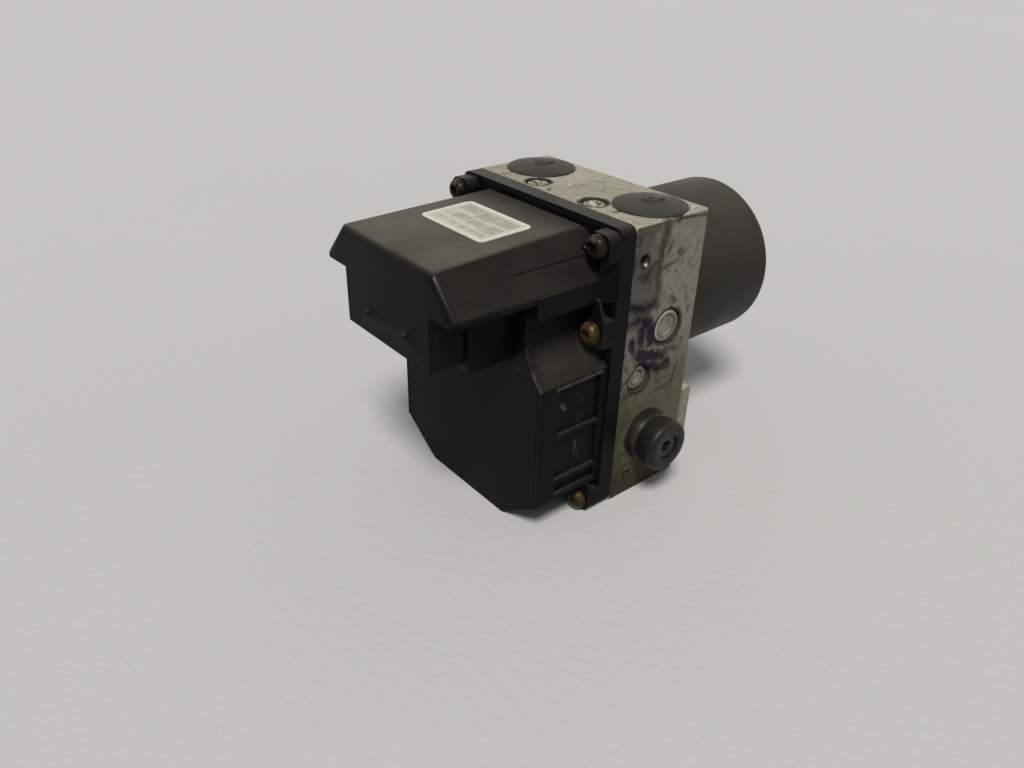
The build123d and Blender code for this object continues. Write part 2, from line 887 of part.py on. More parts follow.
def screw_boss(x, height):
    """A boss rounded towards the housing and square towards the flange's edge."""
    side = 1 if x > 0 else -1
    length = flange_front - boss_front
    boss = rod(boss_radius, length, (x, flange_front, height), FRONT)
    boss += block_between(x, side * flange_width / 2, flange_front, boss_front,
                          height - boss_radius, height + boss_radius)
    top = flange_top - boss_step
    limit = Pos(0, top / 2) * RectangleRounded(flange_width, top, flange_corner)
    return boss & front_prism(limit, flange_front, length)


def boss_web(side, height, reach_x, reach_z):
    """A thin slanted web that ties a boss to the wall above it."""
    edge = side * flange_width / 2
    top = height + boss_radius
    points = [(edge, top - web_thickness), (edge, top), (side * reach_x, reach_z),
              (side * (reach_x - 2 * web_thickness), reach_z), (side * screw_x, top - web_thickness)]
    return front_prism(make_face(Polyline(*points, close=True)), boss_front + web_thickness, web_thickness)


def upper_web(side):
    """The thin web between an upper boss and the hood's slope."""
    near, far = screw_x - screw_head_radius, screw_x - upper_web_reach
    top = upper_web_height + web_thickness
    points = [(side * near, upper_web_height), (side * near, top), (side * far, top - upper_web_fall),
              (side * far, upper_web_height - upper_web_fall)]
    return front_prism(make_face(Polyline(*points, close=True)), boss_front + web_thickness, web_thickness)


def side_gusset(side):
    """The slanted corner between the hood's side and the flange, below the upper boss."""
    wall = side * hood_side_half_width
    points = [(wall, flange_front), (wall + side * gusset_width, flange_front),
              (wall, flange_front - gusset_depth)]
    corner = Pos(0, 0, gusset_bottom) * make_face(Polyline(*points, close=True))
    return extrude(corner, gusset_top - gusset_bottom, dir=UP)


def side_recesses(side):
    """The relieved panels between the ribs of the coil box's side."""
    outer = side * block_width
    inner = side * (box_half_width - side_recess_depth)
    panel = block_between(inner, outer, side_recess_front, side_recess_back,
                          side_recess_bottom, side_recess_top)
    for height in (lower_rib_height, upper_rib_height):
        half = side_rib_thickness / 2
        panel -= block_between(inner, outer, side_recess_front, side_recess_back,
                               height - half, height + half)
    return panel


def slope_groove(side):
    """The parting groove along the hood's sloped side."""
    run = hood_side_half_width - hood_top_half_back
    rise = hood_top_back - hood_slope_foot
    share = (slope_groove_height - hood_slope_foot) / rise
    x = hood_side_half_width - share * run
    angle = degrees(atan2(rise, run))
    groove = Box(slope_groove_depth * 2, flange_front - slope_groove_front, slope_groove_width)
    turn = Rot(0, angle - 90, 0)
    groove = Pos(x, (flange_front + slope_groove_front) / 2, slope_groove_height) * turn * groove
    return groove if side > 0 else mirror(groove, Plane.YZ)


def lid_outline(inset):
    """The lid's outline on the box's front face; inset moves it inward."""
    half = Polyline((0, 0), (box_half_width - box_chamfer_run, 0), (box_half_width, box_chamfer_height),
                    (box_half_width, box_shoulder_foot), (box_half_width - lid_corner_run, lid_top),
                    (0, lid_top), (0, 0))
    return inset_face(both_halves(make_face(half)), inset)


def ecu_housing():
    housing = mounting_flange() + coil_box() + hood() + connector_shroud()
    for x, height in screw_places():
        housing += screw_boss(x, height)
    for side in SIDES.values():
        housing += boss_web(side, middle_screw_height, hood_side_half_width + web_thickness,
                            hood_side_bottom + web_thickness)
        housing += boss_web(side, lower_screw_height, box_half_width - web_thickness,
                            box_chamfer_height + 2 * web_thickness)
        housing += upper_web(side)
        housing += side_gusset(side)
    housing -= front_prism(box_outline(housing_wall), block_front, block_front - box_front - lid_seat)
    housing -= hood_hollows()
    housing -= front_prism(lid_outline(lid_border), box_front + lid_seat, lid_seat)
    housing -= shroud_mouth()
    pocket = screw_x - boss_radius
    housing -= block_between(-pocket, pocket, flange_front, flange_front - channel_width,
                             hood_top_back - channel_depth, flange_top)
    for side in SIDES.values():
        housing -= side_recesses(side)
        housing -= slope_groove(side)
    for x, height in screw_places():
        hole = screw_radius + screw_hole_gap
        housing -= rod(hole, block_front - boss_front, (x, block_front, height), FRONT)
        access = screw_head_radius + screw_access_gap
        housing -= rod(access, boss_front - hood_front, (x, boss_front, height), FRONT)
    return housing - gasket_ring(gasket_depth)


def gasket_ring(depth):
    outer = front_prism(box_outline(gasket_inset - gasket_width), block_front, depth)
    inner = front_prism(box_outline(gasket_inset), block_front, depth)
    return outer - inner


def ecu_lid():
    return front_prism(lid_outline(lid_border + lid_gap), box_front + lid_seat, lid_thickness)


def circuit_board():
    return front_prism(lid_outline(housing_wall + board_gap), board_front, board_thickness)


def ecu_label():
    """A thin plate lying on the hood's sloping top."""
    top = hood_top_at(label_middle_y)
    slope = (hood_top_back - hood_top_front) / (flange_front - hood_front)
    frame = Plane(origin=(0, label_middle_y, top), x_dir=(1, 0, 0), z_dir=(0, -slope, 1))
    return extrude(frame * RectangleRounded(label_width, label_length, label_corner), label_thickness)


def pin(x, y, width):
    return block_between(x - width / 2, x + width / 2, y - pin_size / 2, y + pin_size / 2,
                         shroud_floor - pin_length, shroud_floor)


def connector_pins():
    """Two rows of signal pins and one row of wide power blades."""
    pins = [pin(x, row, pin_size) for row in (front_pin_row, rear_pin_row)
            for x in evenly_spread(pin_columns, pin_pitch)]
    pins += [pin(x, power_pin_y, power_pin_width) for x in evenly_spread(power_pin_count, power_pin_pitch)]
    return Compound(pins)


def ecu_screws():
    """Six domed screws with a six-lobe socket shown as a hexagon."""
    screws = []
    for x, height in screw_places():
        seat = (x, boss_front, height)
        head = rod(screw_head_radius, screw_head_height, seat, FRONT)
        head = fillet(head.faces().sort_by(Axis.Y)[0].edges(), screw_head_edge)
        frame = Plane(origin=(x, boss_front - screw_head_height, height), z_dir=BACK)
        head -= extrude(frame * RegularPolygon(screw_socket_radius, 6), screw_socket_depth)
        grip = block_front - boss_front
        screw = head + rod(screw_radius, grip, seat, BACK)
        thread_at = (x, block_front, height)
        screws.append(screw + rod(screw_thread_radius, screw_thread_depth - screw_end_gap, thread_at, BACK))
    return Compound(screws)


def save_all():
    os.makedirs("parts", exist_ok=True)
    save(valve_block(), "valve_block")
    save(top_plugs(), "top_gallery_plugs")
    save(sealing_balls(), "sealing_balls")
    for name, side in SIDES.items():
        save(port_cap(side), f"port_cap_{name}")
        save(pump_plug(side), f"pump_plug_{name}")
        save(side_plug(side), f"side_plug_{name}")
        save(rubber_mount(side), f"rubber_mount_{name}")
        save(mount_stud(side), f"mount_stud_{name}")
        save(magnet(side), f"magnet_{name}")
        save(pump_piston(side), f"pump_piston_{name}")
        save(pump_spring(side), f"pump_spring_{name}")
        save(accumulator_piston(side), f"accumulator_piston_{name}")
        save(accumulator_spring(side), f"accumulator_spring_{name}")
        save(accumulator_lid(side), f"accumulator_lid_{name}")
    save(motor_can(), "motor_can")
    save(rear_bearing(), "rear_bearing")
    save(front_bearing(), "front_bearing")
    save(armature_core(), "armature_core")
    save(armature_winding(), "armature_winding")
    save(commutator(), "commutator")
    save(motor_shaft(), "motor_shaft")
    save(eccentric_ring(), "eccentric_ring")
    save(brush_plate(), "brush_plate")
    save(brush(1), "brush_upper")
    save(brush(-1), "brush_lower")
    for kind, height in (("outlet", outlet_valve_height), ("inlet", inlet_valve_height)):
        for number, column in enumerate(valve_columns(), start=1):
            save(valve_cartridge(column, height), f"{kind}_valve_{number}")
            save(valve_coil(column, height), f"{kind}_coil_{number}")
    save(ecu_housing(), "ecu_housing")
    save(ecu_lid(), "ecu_lid")
    save(circuit_board(), "circuit_board")
    save(gasket_ring(gasket_depth), "ecu_gasket")
    save(ecu_label(), "ecu_label")
    save(connector_pins(), "connector_pins")
    save(ecu_screws(), "ecu_screws")


save_all()
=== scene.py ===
from math import cos, pi, radians, sin

import bmesh
import bpy
from mathutils import Matrix, Vector


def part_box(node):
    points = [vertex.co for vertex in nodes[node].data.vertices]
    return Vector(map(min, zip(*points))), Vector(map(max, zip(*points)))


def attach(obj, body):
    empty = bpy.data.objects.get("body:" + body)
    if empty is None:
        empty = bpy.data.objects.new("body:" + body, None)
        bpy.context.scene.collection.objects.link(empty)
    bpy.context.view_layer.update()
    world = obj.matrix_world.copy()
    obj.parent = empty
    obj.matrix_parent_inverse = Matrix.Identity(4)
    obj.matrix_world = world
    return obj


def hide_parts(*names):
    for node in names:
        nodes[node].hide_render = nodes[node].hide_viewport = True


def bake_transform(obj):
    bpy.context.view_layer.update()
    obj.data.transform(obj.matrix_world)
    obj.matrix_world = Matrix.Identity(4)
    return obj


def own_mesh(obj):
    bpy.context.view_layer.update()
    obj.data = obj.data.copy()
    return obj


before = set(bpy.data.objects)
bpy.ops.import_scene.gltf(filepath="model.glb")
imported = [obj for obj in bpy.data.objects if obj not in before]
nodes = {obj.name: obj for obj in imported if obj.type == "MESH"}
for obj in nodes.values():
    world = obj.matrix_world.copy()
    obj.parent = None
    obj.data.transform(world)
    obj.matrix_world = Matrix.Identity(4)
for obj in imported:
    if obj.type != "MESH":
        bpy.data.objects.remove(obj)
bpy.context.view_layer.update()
mm = 0.001
sides = {"left": -1, "right": 1}
print("frame loaded:", len(nodes), "nodes")

# camera

camera = {
    "place": (0.191144, -0.191444, 0.179505),
    "yaw": 49.8548,  # from +Y towards -X
    "pitch": 30.1314,  # downwards
    "roll": 1.7064,
    "lens": 28.785,
    "sensor": 36.0,
    "clip": (0.01, 20),
}


def addCamera():
    data = bpy.data.cameras.new("camera")
    data.lens = camera["lens"]
    data.sensor_width = camera["sensor"]
    data.clip_start, data.clip_end = camera["clip"]
    shot = bpy.data.objects.new("camera", data)
    turn = Matrix.Rotation(radians(camera["yaw"]), 4, "Z")
    turn = turn @ Matrix.Rotation(radians(90 - camera["pitch"]), 4, "X")
    turn = turn @ Matrix.Rotation(radians(camera["roll"]), 4, "Z")
    shot.matrix_world = Matrix.Translation(camera["place"]) @ turn
    bpy.context.scene.collection.objects.link(shot)
    bpy.context.scene.camera = shot


addCamera()
bpy.context.scene.view_settings.view_transform = "Standard"

# mesh helpers, all sizes in millimetres until a piece is placed


def placed(mesh, place, along):
    # turns +Z of the drawing to a direction and moves it to its place, in metres
    turn = Vector((0, 0, 1)).rotation_difference(Vector(along)).to_matrix().to_4x4()
    matrix = Matrix.Translation(Vector(place) * mm) @ turn @ Matrix.Scale(mm, 4)
    bmesh.ops.transform(mesh, matrix=matrix, verts=mesh.verts)


def ringRadius(angle, ring):
    kind = ring[2] if len(ring) > 2 else "round"
    if kind == "hex":  # the radius is half the width across flats
        return ring[1] / cos((angle + pi / 6) % (pi / 3) - pi / 6)
    if kind == "lobe":  # six shallow rounded lobes
        return ring[1] * (1 + 0.13 * cos(6 * angle))
    return ring[1]


def addRings(mesh, rings, segments):
    # bridges circles of (height, radius, kind) into one closed skin
    loops = []
    for ring in rings:
        made = bmesh.ops.create_circle(mesh, segments=segments, radius=1)
        edges = set()
        for number, vert in enumerate(made["verts"]):
            angle = 2 * pi * number / segments
            reach = ringRadius(angle, ring)
            vert.co = (reach * cos(angle), reach * sin(angle), ring[0])
            edges.update(vert.link_edges)
        loops.append(list(edges))
    for first, second in zip(loops, loops[1:]):
        bmesh.ops.bridge_loops(mesh, edges=first + second)
    for loop in (loops[0], loops[-1]):
        bmesh.ops.contextual_create(mesh, geom=loop)


def addPiece(mesh, name, material, smooth):
    # a smooth shaded object, sharp where faces meet at more than an angle
    data = bpy.data.meshes.new(name)
    mesh.to_mesh(data)
    mesh.free()
    data.materials.append(material)
    data.shade_smooth()
    data.set_sharp_from_angle(angle=radians(smooth))
    piece = bpy.data.objects.new(name, data)
    bpy.context.scene.collection.objects.link(piece)
    return piece


def finished(mesh, name, material, body, node, smooth=32):
    # turns the drawing into a piece that rides on a body and replaces a node
    bmesh.ops.recalc_face_normals(mesh, faces=mesh.faces)
    piece = addPiece(mesh, name, material, smooth)
    if body:
        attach(piece, body)
    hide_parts(node)
    return piece


def spun(profile, segments, closed=False):
    # spins a profile of (height, radius) points about +Z; a closed profile makes a ring
    mesh = bmesh.new()
    verts = [mesh.verts.new((radius, 0, height)) for height, radius in profile]
    pairs = list(zip(verts, verts[1:]))
    if closed:
        pairs.append((verts[-1], verts[0]))
    edges = [mesh.edges.new(pair) for pair in pairs]
    bmesh.ops.spin(mesh, geom=verts + edges, cent=(0, 0, 0), axis=(0, 0, 1), angle=2 * pi,
                   steps=segments, use_merge=True)
    bmesh.ops.remove_doubles(mesh, verts=mesh.verts, dist=0.0005)
    return mesh


def gathered(drawings):
    # one mesh from several that are already placed
    mesh = bmesh.new()
    for drawing in drawings:
        data = bpy.data.meshes.new("part")
        drawing.to_mesh(data)
        drawing.free()
        mesh.from_mesh(data)
        bpy.data.meshes.remove(data)
    return mesh


# shader helpers


def feed(tree, socket, value):
    # a socket takes a value or another node's output
    if isinstance(value, bpy.types.NodeSocket):
        tree.links.new(value, socket)
    else:
        socket.default_value = value


def put(tree, kind, values=None, **settings):
    node = tree.nodes.new("ShaderNode" + kind)
    for name, setting in settings.items():
        setattr(node, name, setting)
    for socket, value in (values or {}).items():
        feed(tree, node.inputs[socket], value)
    return node


def calc(tree, operation, *values, clamp=False):
    return put(tree, "Math", dict(enumerate(values)), operation=operation, use_clamp=clamp).outputs[0]


def product(tree, *masks):
    result = masks[0]
    for mask in masks[1:]:
        result = calc(tree, "MULTIPLY", result, mask)
    return result


def spread(tree, value, low, high, toLow=0.0, toHigh=1.0):
    # smooth step from one range to another
    values = {"Value": value, "From Min": low, "From Max": high, "To Min": toLow, "To Max": toHigh}
    return put(tree, "MapRange", values, interpolation_type="SMOOTHSTEP").outputs["Result"]


def mixed(tree, factor, first, second):
    return put(tree, "Mix", {0: factor, 6: first, 7: second}, data_type="RGBA").outputs[2]


def covered(tree, base, mask, strength, tint):
    return mixed(tree, product(tree, mask, strength), base, tint)


def colour(red, green, blue):
    return (red, green, blue, 1)


def split(tree, vector):
    return put(tree, "SeparateXYZ", {0: vector}).outputs


def vectorCalc(tree, operation, first, second=None):
    values = {0: first} if second is None else {0: first, 1: second}
    outputs = put(tree, "VectorMath", values, operation=operation).outputs
    return outputs["Value"] if operation in ("DISTANCE", "DOT_PRODUCT") else outputs["Vector"]


def noise(tree, vector, scale, detail=3.0, roughness=0.55, distortion=0.0):
    values = {"Vector": vector, "Scale": scale, "Detail": detail, "Roughness": roughness,
              "Distortion": distortion}
    return put(tree, "TexNoise", values).outputs["Fac"]


def frayed(tree, where, scale, detail=4.0, roughness=0.6, distortion=0.0):
    # noise about nought, which tears the rims of marks
    return calc(tree, "SUBTRACT", noise(tree, where, scale, detail, roughness, distortion), 0.5)


def stripes(tree, where, scale, axis, **shape):
    values = {"Vector": where, "Scale": scale}
    values.update(shape)
    return put(tree, "TexWave", values, wave_type="BANDS", bands_direction=axis).outputs["Fac"]


# shared effects


def newGroup(name, inputs, output):
    group = bpy.data.node_groups.new(name, "ShaderNodeTree")
    for label, value in inputs.items():
        kind = "NodeSocketVector" if isinstance(value, tuple) else "NodeSocketFloat"
        socket = group.interface.new_socket(name=label, in_out="INPUT", socket_type=kind)
        socket.default_value = value
    group.interface.new_socket(name=output, in_out="OUTPUT", socket_type="NodeSocketFloat")
    start = group.nodes.new("NodeGroupInput")
    end = group.nodes.new("NodeGroupOutput")
    return group, start.outputs, end.inputs[output]


def makeMouldGrain():
    # fine leathery grain of moulded and painted skins
    group, given, result = newGroup("mouldGrain", {"Vector": (0, 0, 0), "Scale": 1500.0}, "Height")
    fine = noise(group, given["Vector"], given["Scale"], 2.0)
    cells = put(group, "TexVoronoi", {"Vector": given["Vector"], "Scale": given["Scale"]},
                feature="SMOOTH_F1").outputs["Distance"]
    group.links.new(calc(group, "ADD", fine, cells), result)
    return group


def makeGrime():
    # cloudy patches; Amount is the share covered
    group, given, result = newGroup("grime", {"Vector": (0, 0, 0), "Scale": 60.0, "Amount": 0.5,
                                              "Softness": 0.12}, "Mask")
    cloud = noise(group, given["Vector"], given["Scale"], 6.0, 0.62, 0.6)
    edge = calc(group, "SUBTRACT", 0.78, product(group, given["Amount"], 0.56))
    low = calc(group, "SUBTRACT", edge, given["Softness"])
    high = calc(group, "ADD", edge, given["Softness"])
    group.links.new(spread(group, cloud, low, high), result)
    return group


def makeSettledDust():
    # dust on what faces upwards, thinned by a cloud
    group, given, result = newGroup("settledDust", {"Vector": (0, 0, 0), "Scale": 90.0, "Low": 0.2,
                                                    "High": 0.95}, "Mask")
    up = split(group, put(group, "NewGeometry").outputs["Normal"])["Z"]
    facing = spread(group, up, given["Low"], given["High"])
    cloud = noise(group, given["Vector"], given["Scale"], 5.0, 0.6)
    group.links.new(product(group, facing, spread(group, cloud, 0.25, 0.75, 0.45, 1.0)), result)
    return group


def makeSmear():
    # how far a place is from a smear's rim, which runs at Width round the line from Start to End
    group, given, result = newGroup("smear", {"Vector": (0, 0, 0), "Start": (0, 0, 0),
                                              "End": (0, 0, 0.001), "Width": 0.001}, "Away")
    offset = vectorCalc(group, "SUBTRACT", given["Vector"], given["Start"])
    run = vectorCalc(group, "SUBTRACT", given["End"], given["Start"])
    share = calc(group, "DIVIDE", vectorCalc(group, "DOT_PRODUCT", offset, run),
                 vectorCalc(group, "DOT_PRODUCT", run, run), clamp=True)
    foot = put(group, "VectorMath", {0: run, "Scale": share}, operation="SCALE").outputs["Vector"]
    away = vectorCalc(group, "DISTANCE", offset, foot)
    group.links.new(calc(group, "SUBTRACT", away, given["Width"]), result)
    return group


def makeBoxEdge():
    # one along the edges of a box, falling to nought over a width
    group, given, result = newGroup("boxEdge", {"Vector": (0, 0, 0), "Middle": (0, 0, 0),
                                                "Half": (0.01, 0.01, 0.01), "Width": 0.001}, "Mask")
    size = vectorCalc(group, "ABSOLUTE", vectorCalc(group, "SUBTRACT", given["Vector"], given["Middle"]))
    parts = split(group, vectorCalc(group, "SUBTRACT", given["Half"], size))
    low = calc(group, "MINIMUM", parts[0], parts[1])
    high = calc(group, "MAXIMUM", parts[0], parts[1])
    second = calc(group, "MINIMUM", high, calc(group, "MAXIMUM", low, parts[2]))
    torn = product(group, noise(group, given["Vector"], 700.0, 4.0), given["Width"])
    group.links.new(spread(group, calc(group, "ADD", second, torn), 0.0, given["Width"], 1.0, 0.0), result)
    return group


effects = (makeMouldGrain(), makeGrime(), makeSettledDust(), makeSmear(), makeBoxEdge())
groups = {group.name: group for group in effects}


def effect(tree, name, values):
    node = put(tree, "Group", node_tree=groups[name])
    for socket, value in values.items():
        feed(tree, node.inputs[socket], value)
    return node.outputs[0]


def cloudMask(tree, where, scale, amount, softness):
    return effect(tree, "grime", {"Vector": where, "Scale": scale, "Amount": amount, "Softness": softness})


def dustMask(tree, where, scale, low, high):
    return effect(tree, "settledDust", {"Vector": where, "Scale": scale, "Low": low, "High": high})


def scaled(place):
    return [value * mm for value in place]


def softened(tree, away, torn, softness, ragged):
    # turns the distance from a rim into a soft mask, frayed by noise
    away = calc(tree, "MULTIPLY_ADD", torn, ragged * 4 * mm, away)
    return spread(tree, away, -softness * mm, softness * mm, 1.0, 0.0)


def spotMask(tree, where, torn, spots, softness, ragged):
    # spots are (place, radius) in millimetres
    away = 1.0
    for place, radius in spots:
        one = calc(tree, "SUBTRACT", vectorCalc(tree, "DISTANCE", where, scaled(place)), radius * mm)
        away = calc(tree, "MINIMUM", away, one)
    return softened(tree, away, torn, softness, ragged)


def smearMask(tree, where, torn, smears, softness, ragged):
    # smears are (start, end, half width) in millimetres
    away = 1.0
    for start, end, width in smears:
        one = effect(tree, "smear", {"Vector": where, "Start": scaled(start), "End": scaled(end),
                                     "Width": width * mm})
        away = calc(tree, "MINIMUM", away, one)
    return softened(tree, away, torn, softness, ragged)


def layered(tree, where, torn, base, look, thinned=()):
    # lays the look's layers on the base, each as name, kind, shape, strength and colour;
    # spots and smears have their places under the layer's name
    for name, kind, shape, strength, tint in look["layers"]:
        if kind == "cloud":
            mask = cloudMask(tree, where, *shape)
        elif kind == "dust":
            mask = dustMask(tree, where, *shape)
        elif kind == "spots":
            mask = spotMask(tree, where, torn, look[name], *shape)
        else:
            mask = smearMask(tree, where, torn, look[name], *shape)
        if name in thinned:
            mask = product(tree, mask, thinned[name])
        base = covered(tree, base, mask, strength, look[tint])
    return base


def newMaterial(name):
    material = bpy.data.materials.new(name)
    material.use_nodes = True
    tree = material.node_tree
    shader = tree.nodes["Principled BSDF"]
    where = put(tree, "TexCoord").outputs["Object"]
    return material, tree, shader, where


def connect(tree, shader, colour, roughness, height, distance, strength=1.0, metallic=0.0, gloss=0.5):
    # the height goes through a bump node, the rest to the shader's own sockets
    bump = put(tree, "Bump", {"Height": height, "Distance": distance, "Strength": strength})
    for name, value in (("Base Color", colour), ("Roughness", roughness), ("Metallic", metallic),
                        ("Specular IOR Level", gloss), ("Normal", bump.outputs["Normal"])):
        feed(tree, shader.inputs[name], value)


print("shared effects built:", len(groups))

# valve block


def chained(lines, onFace):
    # lines of places on a face, with a half width each, as smears from each place to the next
    smears = []
    for points, width in lines:
        places = [onFace(first, second) for first, second in points]
        smears += [(start, end, width) for start, end in zip(places, places[1:])]
    return smears


def onSide(y, z):
    return (38.3, y, z)


def onTop(x, y):
    return (x, y, 100.0)


blockLook = {
    "pale": colour(0.43, 0.405, 0.315),
    "dull": colour(0.27, 0.250, 0.190),
    "sidePale": colour(0.215, 0.207, 0.172),
    # the side's shade tone is painted shade at its front top, its foot tone a painted shadow below the mount
    "sideShade": colour(0.056, 0.054, 0.053),
    "sideOlive": colour(0.098, 0.092, 0.060),
    "sideFootShadow": colour(0.026, 0.021, 0.013),
    "sideStrip": colour(0.070, 0.061, 0.032),
    "speck": colour(0.050, 0.046, 0.038),
    "brown": colour(0.075, 0.055, 0.028),
    # grease stains, and also the colour of the painted shade in the rings
    "grease": colour(0.026, 0.022, 0.014),
    "ink": colour(0.0080, 0.0060, 0.0140),
    "bright": colour(0.72, 0.71, 0.62),
    "torn": (330.0, 5.0, 0.65),
    "wide": (75.0, 4.0, 0.6, 0.4),
    "clouds": (38.0, 0.5, 0.16),
    "drawnScale": (900, 900, 55),
    "mottle": (420.0, 6.0, 0.7),
    "rightFrom": 0.0381,
    "topFrom": 0.0996,
    # where the right side's tones fade in, in metres along Y and Z
    "shadeDepth": (0.001, -0.009),
    "shadeHeight": (0.050, 0.074),
    "oliveHeight": (0.062, 0.042),
    "stripDepth": (-0.0115, -0.0150),
    "stripHeight": (0.050, 0.038),
    # the foot's painted shadow deepens towards the bottom
    "footShadowHeight": (0.022, 0.006),
    "patchDepth": (0.012, 0.004),
    "edges": {"Middle": (0, 0, 0.05), "Half": (0.0383, 0.0165, 0.05), "Width": 0.0009},
    # smears on the right side
    "runs": chained([([(-2.6, 99.6), (-3.6, 91.4)], 1.9), ([(-3.6, 91.4), (-4.5, 82.0)], 1.3),
                     ([(-4.5, 82.0), (-2.8, 71.0)], 0.8), ([(0.5, 92.0), (-1.0, 89.1)], 1.0),
                     ([(-2.7, 84.0), (3.9, 85.4)], 0.6), ([(-13.0, 83.9), (-9.7, 83.3)], 0.9),
                     ([(10.2, 74.7), (12.6, 65.7)], 0.4), ([(10.9, 46.0), (9.1, 39.4), (1.3, 38.6)], 0.4)],
                    onSide),
    # the last tick darkens a thin band just under the side's top edge
    "ticks": chained([([(5.4, 89.5), (3.6, 87.9)], 0.3), ([(9.4, 83.1), (9.9, 82.6)], 0.35),
                      ([(11.9, 81.6), (12.4, 81.5)], 0.35), ([(3.4, 99.2), (15.6, 98.1)], 0.5)], onSide),
    "browns": chained([([(-15.6, 96.5), (-6.7, 98.2)], 0.6), ([(11.9, 55.2), (9.2, 51.9), (3.5, 54.8)], 0.8)],
                      onSide),
    "inks": chained([([(-15.3, 74.2), (-9.9, 71.9), (-4.9, 73.4)], 1.5), ([(-14.2, 68.0), (-10.0, 68.8)], 1.9),
                     ([(-7.6, 67.3), (-5.0, 63.3), (-4.4, 58.6)], 2.3), ([(-8.9, 65.0), (-8.9, 59.6)], 1.9),
                     ([(-13.4, 61.5), (-11.6, 56.9)], 1.5), ([(-9.6, 55.6), (2.0, 52.2)], 2.3),
                     ([(-8.8, 52.0), (0.8, 47.8)], 1.7)], onSide),
    # smears on the top
    "topMarks": chained([([(24.2, -12.0), (24.7, -9.6)], 0.4), ([(-28.2, -13.6), (-26.6, -10.0)], 0.3),
                         ([(-4.0, -13.8), (-5.8, -11.2)], 0.25)], onTop),
    "topStains": chained([([(-3.2, -2.5), (-1.4, 1.6), (1.9, 1.6)], 0.4), ([(4.8, 4.4), (6.6, -1.5)], 0.3),
                          ([(-3.6, 5.9), (-0.6, 8.3)], 1.3)], onTop),
    # spots, as a place and a radius
    # pale flecks; the two by the vent hole and on the low ball are painted glints
    "flecks": [((-5.1, -3.2, 100.0), 0.45), ((-7.4, -1.2, 100.0), 0.3), ((34.8, 12.9, 100.0), 0.5),
               ((38.2, -10.6, 87.0), 0.4), ((38.3, -9.2, 10.4), 0.35)],
    # dark discs: painted shade in the gaps and bores round the caps, plugs and mount and inside the vent hole;
    # grime round the balls
    "rings": [((-26.0, 2.4, 100.0), 12.15), ((26.0, 2.4, 100.0), 12.15), ((13.5, -9.9, 100.0), 5.5),
              ((-13.5, -9.9, 100.0), 5.0), ((38.3, 3.4, 62.4), 7.1), ((38.3, -7.7, 46.3), 5.7),
              ((37.9, 4.7, 48.1), 2.5), ((38.3, -9.2, 8.7), 2.3), ((38.3, -2.0, 22.8), 9.8),
              ((37.7, -11.4, 88.3), 2.6)],
    "layers": [
        ("topStains", "smears", (1.2, 1.0), 0.4, "sideOlive"),
        ("browns", "smears", (1.1, 1.0), 0.7, "brown"),
        ("patches", "cloud", (165.0, 0.34, 0.07), 0.7, "grease"),
        ("runs", "smears", (1.2, 0.8), 0.97, "grease"),
        # rings: painted shade round parts and in the vent hole, grime round the balls
        ("rings", "spots", (0.45, 0.7), 0.9, "grease"),
        ("ticks", "smears", (0.5, 0.3), 0.85, "grease"),
        ("topMarks", "smears", (0.5, 0.8), 0.9, "grease"),
        ("inks", "smears", (1.5, 1.5), 0.97, "ink"),
        ("flecks", "spots", (0.35, 0.5), 0.9, "bright"),
    ],
    "skin": {"gloss": 0.05, "metallic": 0.05, "distance": 0.0001, "strength": 0.5},
}


def sideTone(tree, parts, torn, wide):
    # the right side runs from pale at the top to olive, with painted shade at its front top and a painted
    # shadow of the mount darkening its foot
    look = blockLook
    shift = calc(tree, "ADD", product(tree, wide, 0.022), product(tree, torn, 0.010))
    depth = calc(tree, "ADD", parts["Y"], shift)
    height = calc(tree, "ADD", parts["Z"], shift)
    paintedShadeZone = product(tree, spread(tree, depth, *look["shadeDepth"]), spread(tree, height, *look["shadeHeight"]))
    strip = product(tree, spread(tree, depth, *look["stripDepth"]), spread(tree, height, *look["stripHeight"]))
    olive = spread(tree, height, *look["oliveHeight"])
    foot = spread(tree, height, *look["footShadowHeight"])
    tone = look["sidePale"]
    for mask, strength, tint in ((paintedShadeZone, 0.78, "sideShade"), (olive, 0.85, "sideOlive"),
                                 (strip, 0.7, "sideStrip"), (foot, 0.85, "sideFootShadow")):
        tone = covered(tree, tone, mask, strength, look[tint])
    return tone


def makeBlockMetal():
    material, tree, shader, where = newMaterial("block_metal")
    look = blockLook
    torn = frayed(tree, where, *look["torn"])
    wide = frayed(tree, where, *look["wide"])
    drawn = put(tree, "Mapping", {"Vector": where, "Scale": look["drawnScale"]}).outputs["Vector"]
    drawn = noise(tree, drawn, 1.0, 4.0, 0.6)
    mottle = noise(tree, where, *look["mottle"])
    parts = split(tree, where)
    right = calc(tree, "GREATER_THAN", parts["X"], look["rightFrom"])
    base = mixed(tree, cloudMask(tree, where, *look["clouds"]), look["pale"], look["dull"])
    base = mixed(tree, right, base, sideTone(tree, parts, torn, wide))
    base = covered(tree, base, spread(tree, mottle, 0.46, 0.70), 0.55, look["speck"])
    base = covered(tree, base, spread(tree, drawn, 0.45, 0.8), 0.25, look["speck"])
    base = covered(tree, base, calc(tree, "GREATER_THAN", parts["Z"], look["topFrom"]), 0.25, look["pale"])
    thinned = {"patches": product(tree, right, spread(tree, parts["Y"], *look["patchDepth"])),
               "runs": spread(tree, mottle, 0.3, 0.7, 1.0, 0.55),
               "inks": spread(tree, mottle, 0.4, 0.8, 1.0, 0.8)}
    base = layered(tree, where, torn, base, look, thinned)
    base = covered(tree, base, effect(tree, "boxEdge", {"Vector": where, **look["edges"]}), 0.4, look["bright"])
    connect(tree, shader, colour=base, roughness=spread(tree, mottle, 0.3, 0.7, 0.42, 0.62),
            height=calc(tree, "ADD", mottle, product(tree, drawn, 0.6)), **look["skin"])
    return material


blockMetal = makeBlockMetal()

# moulded control unit housing and its lid

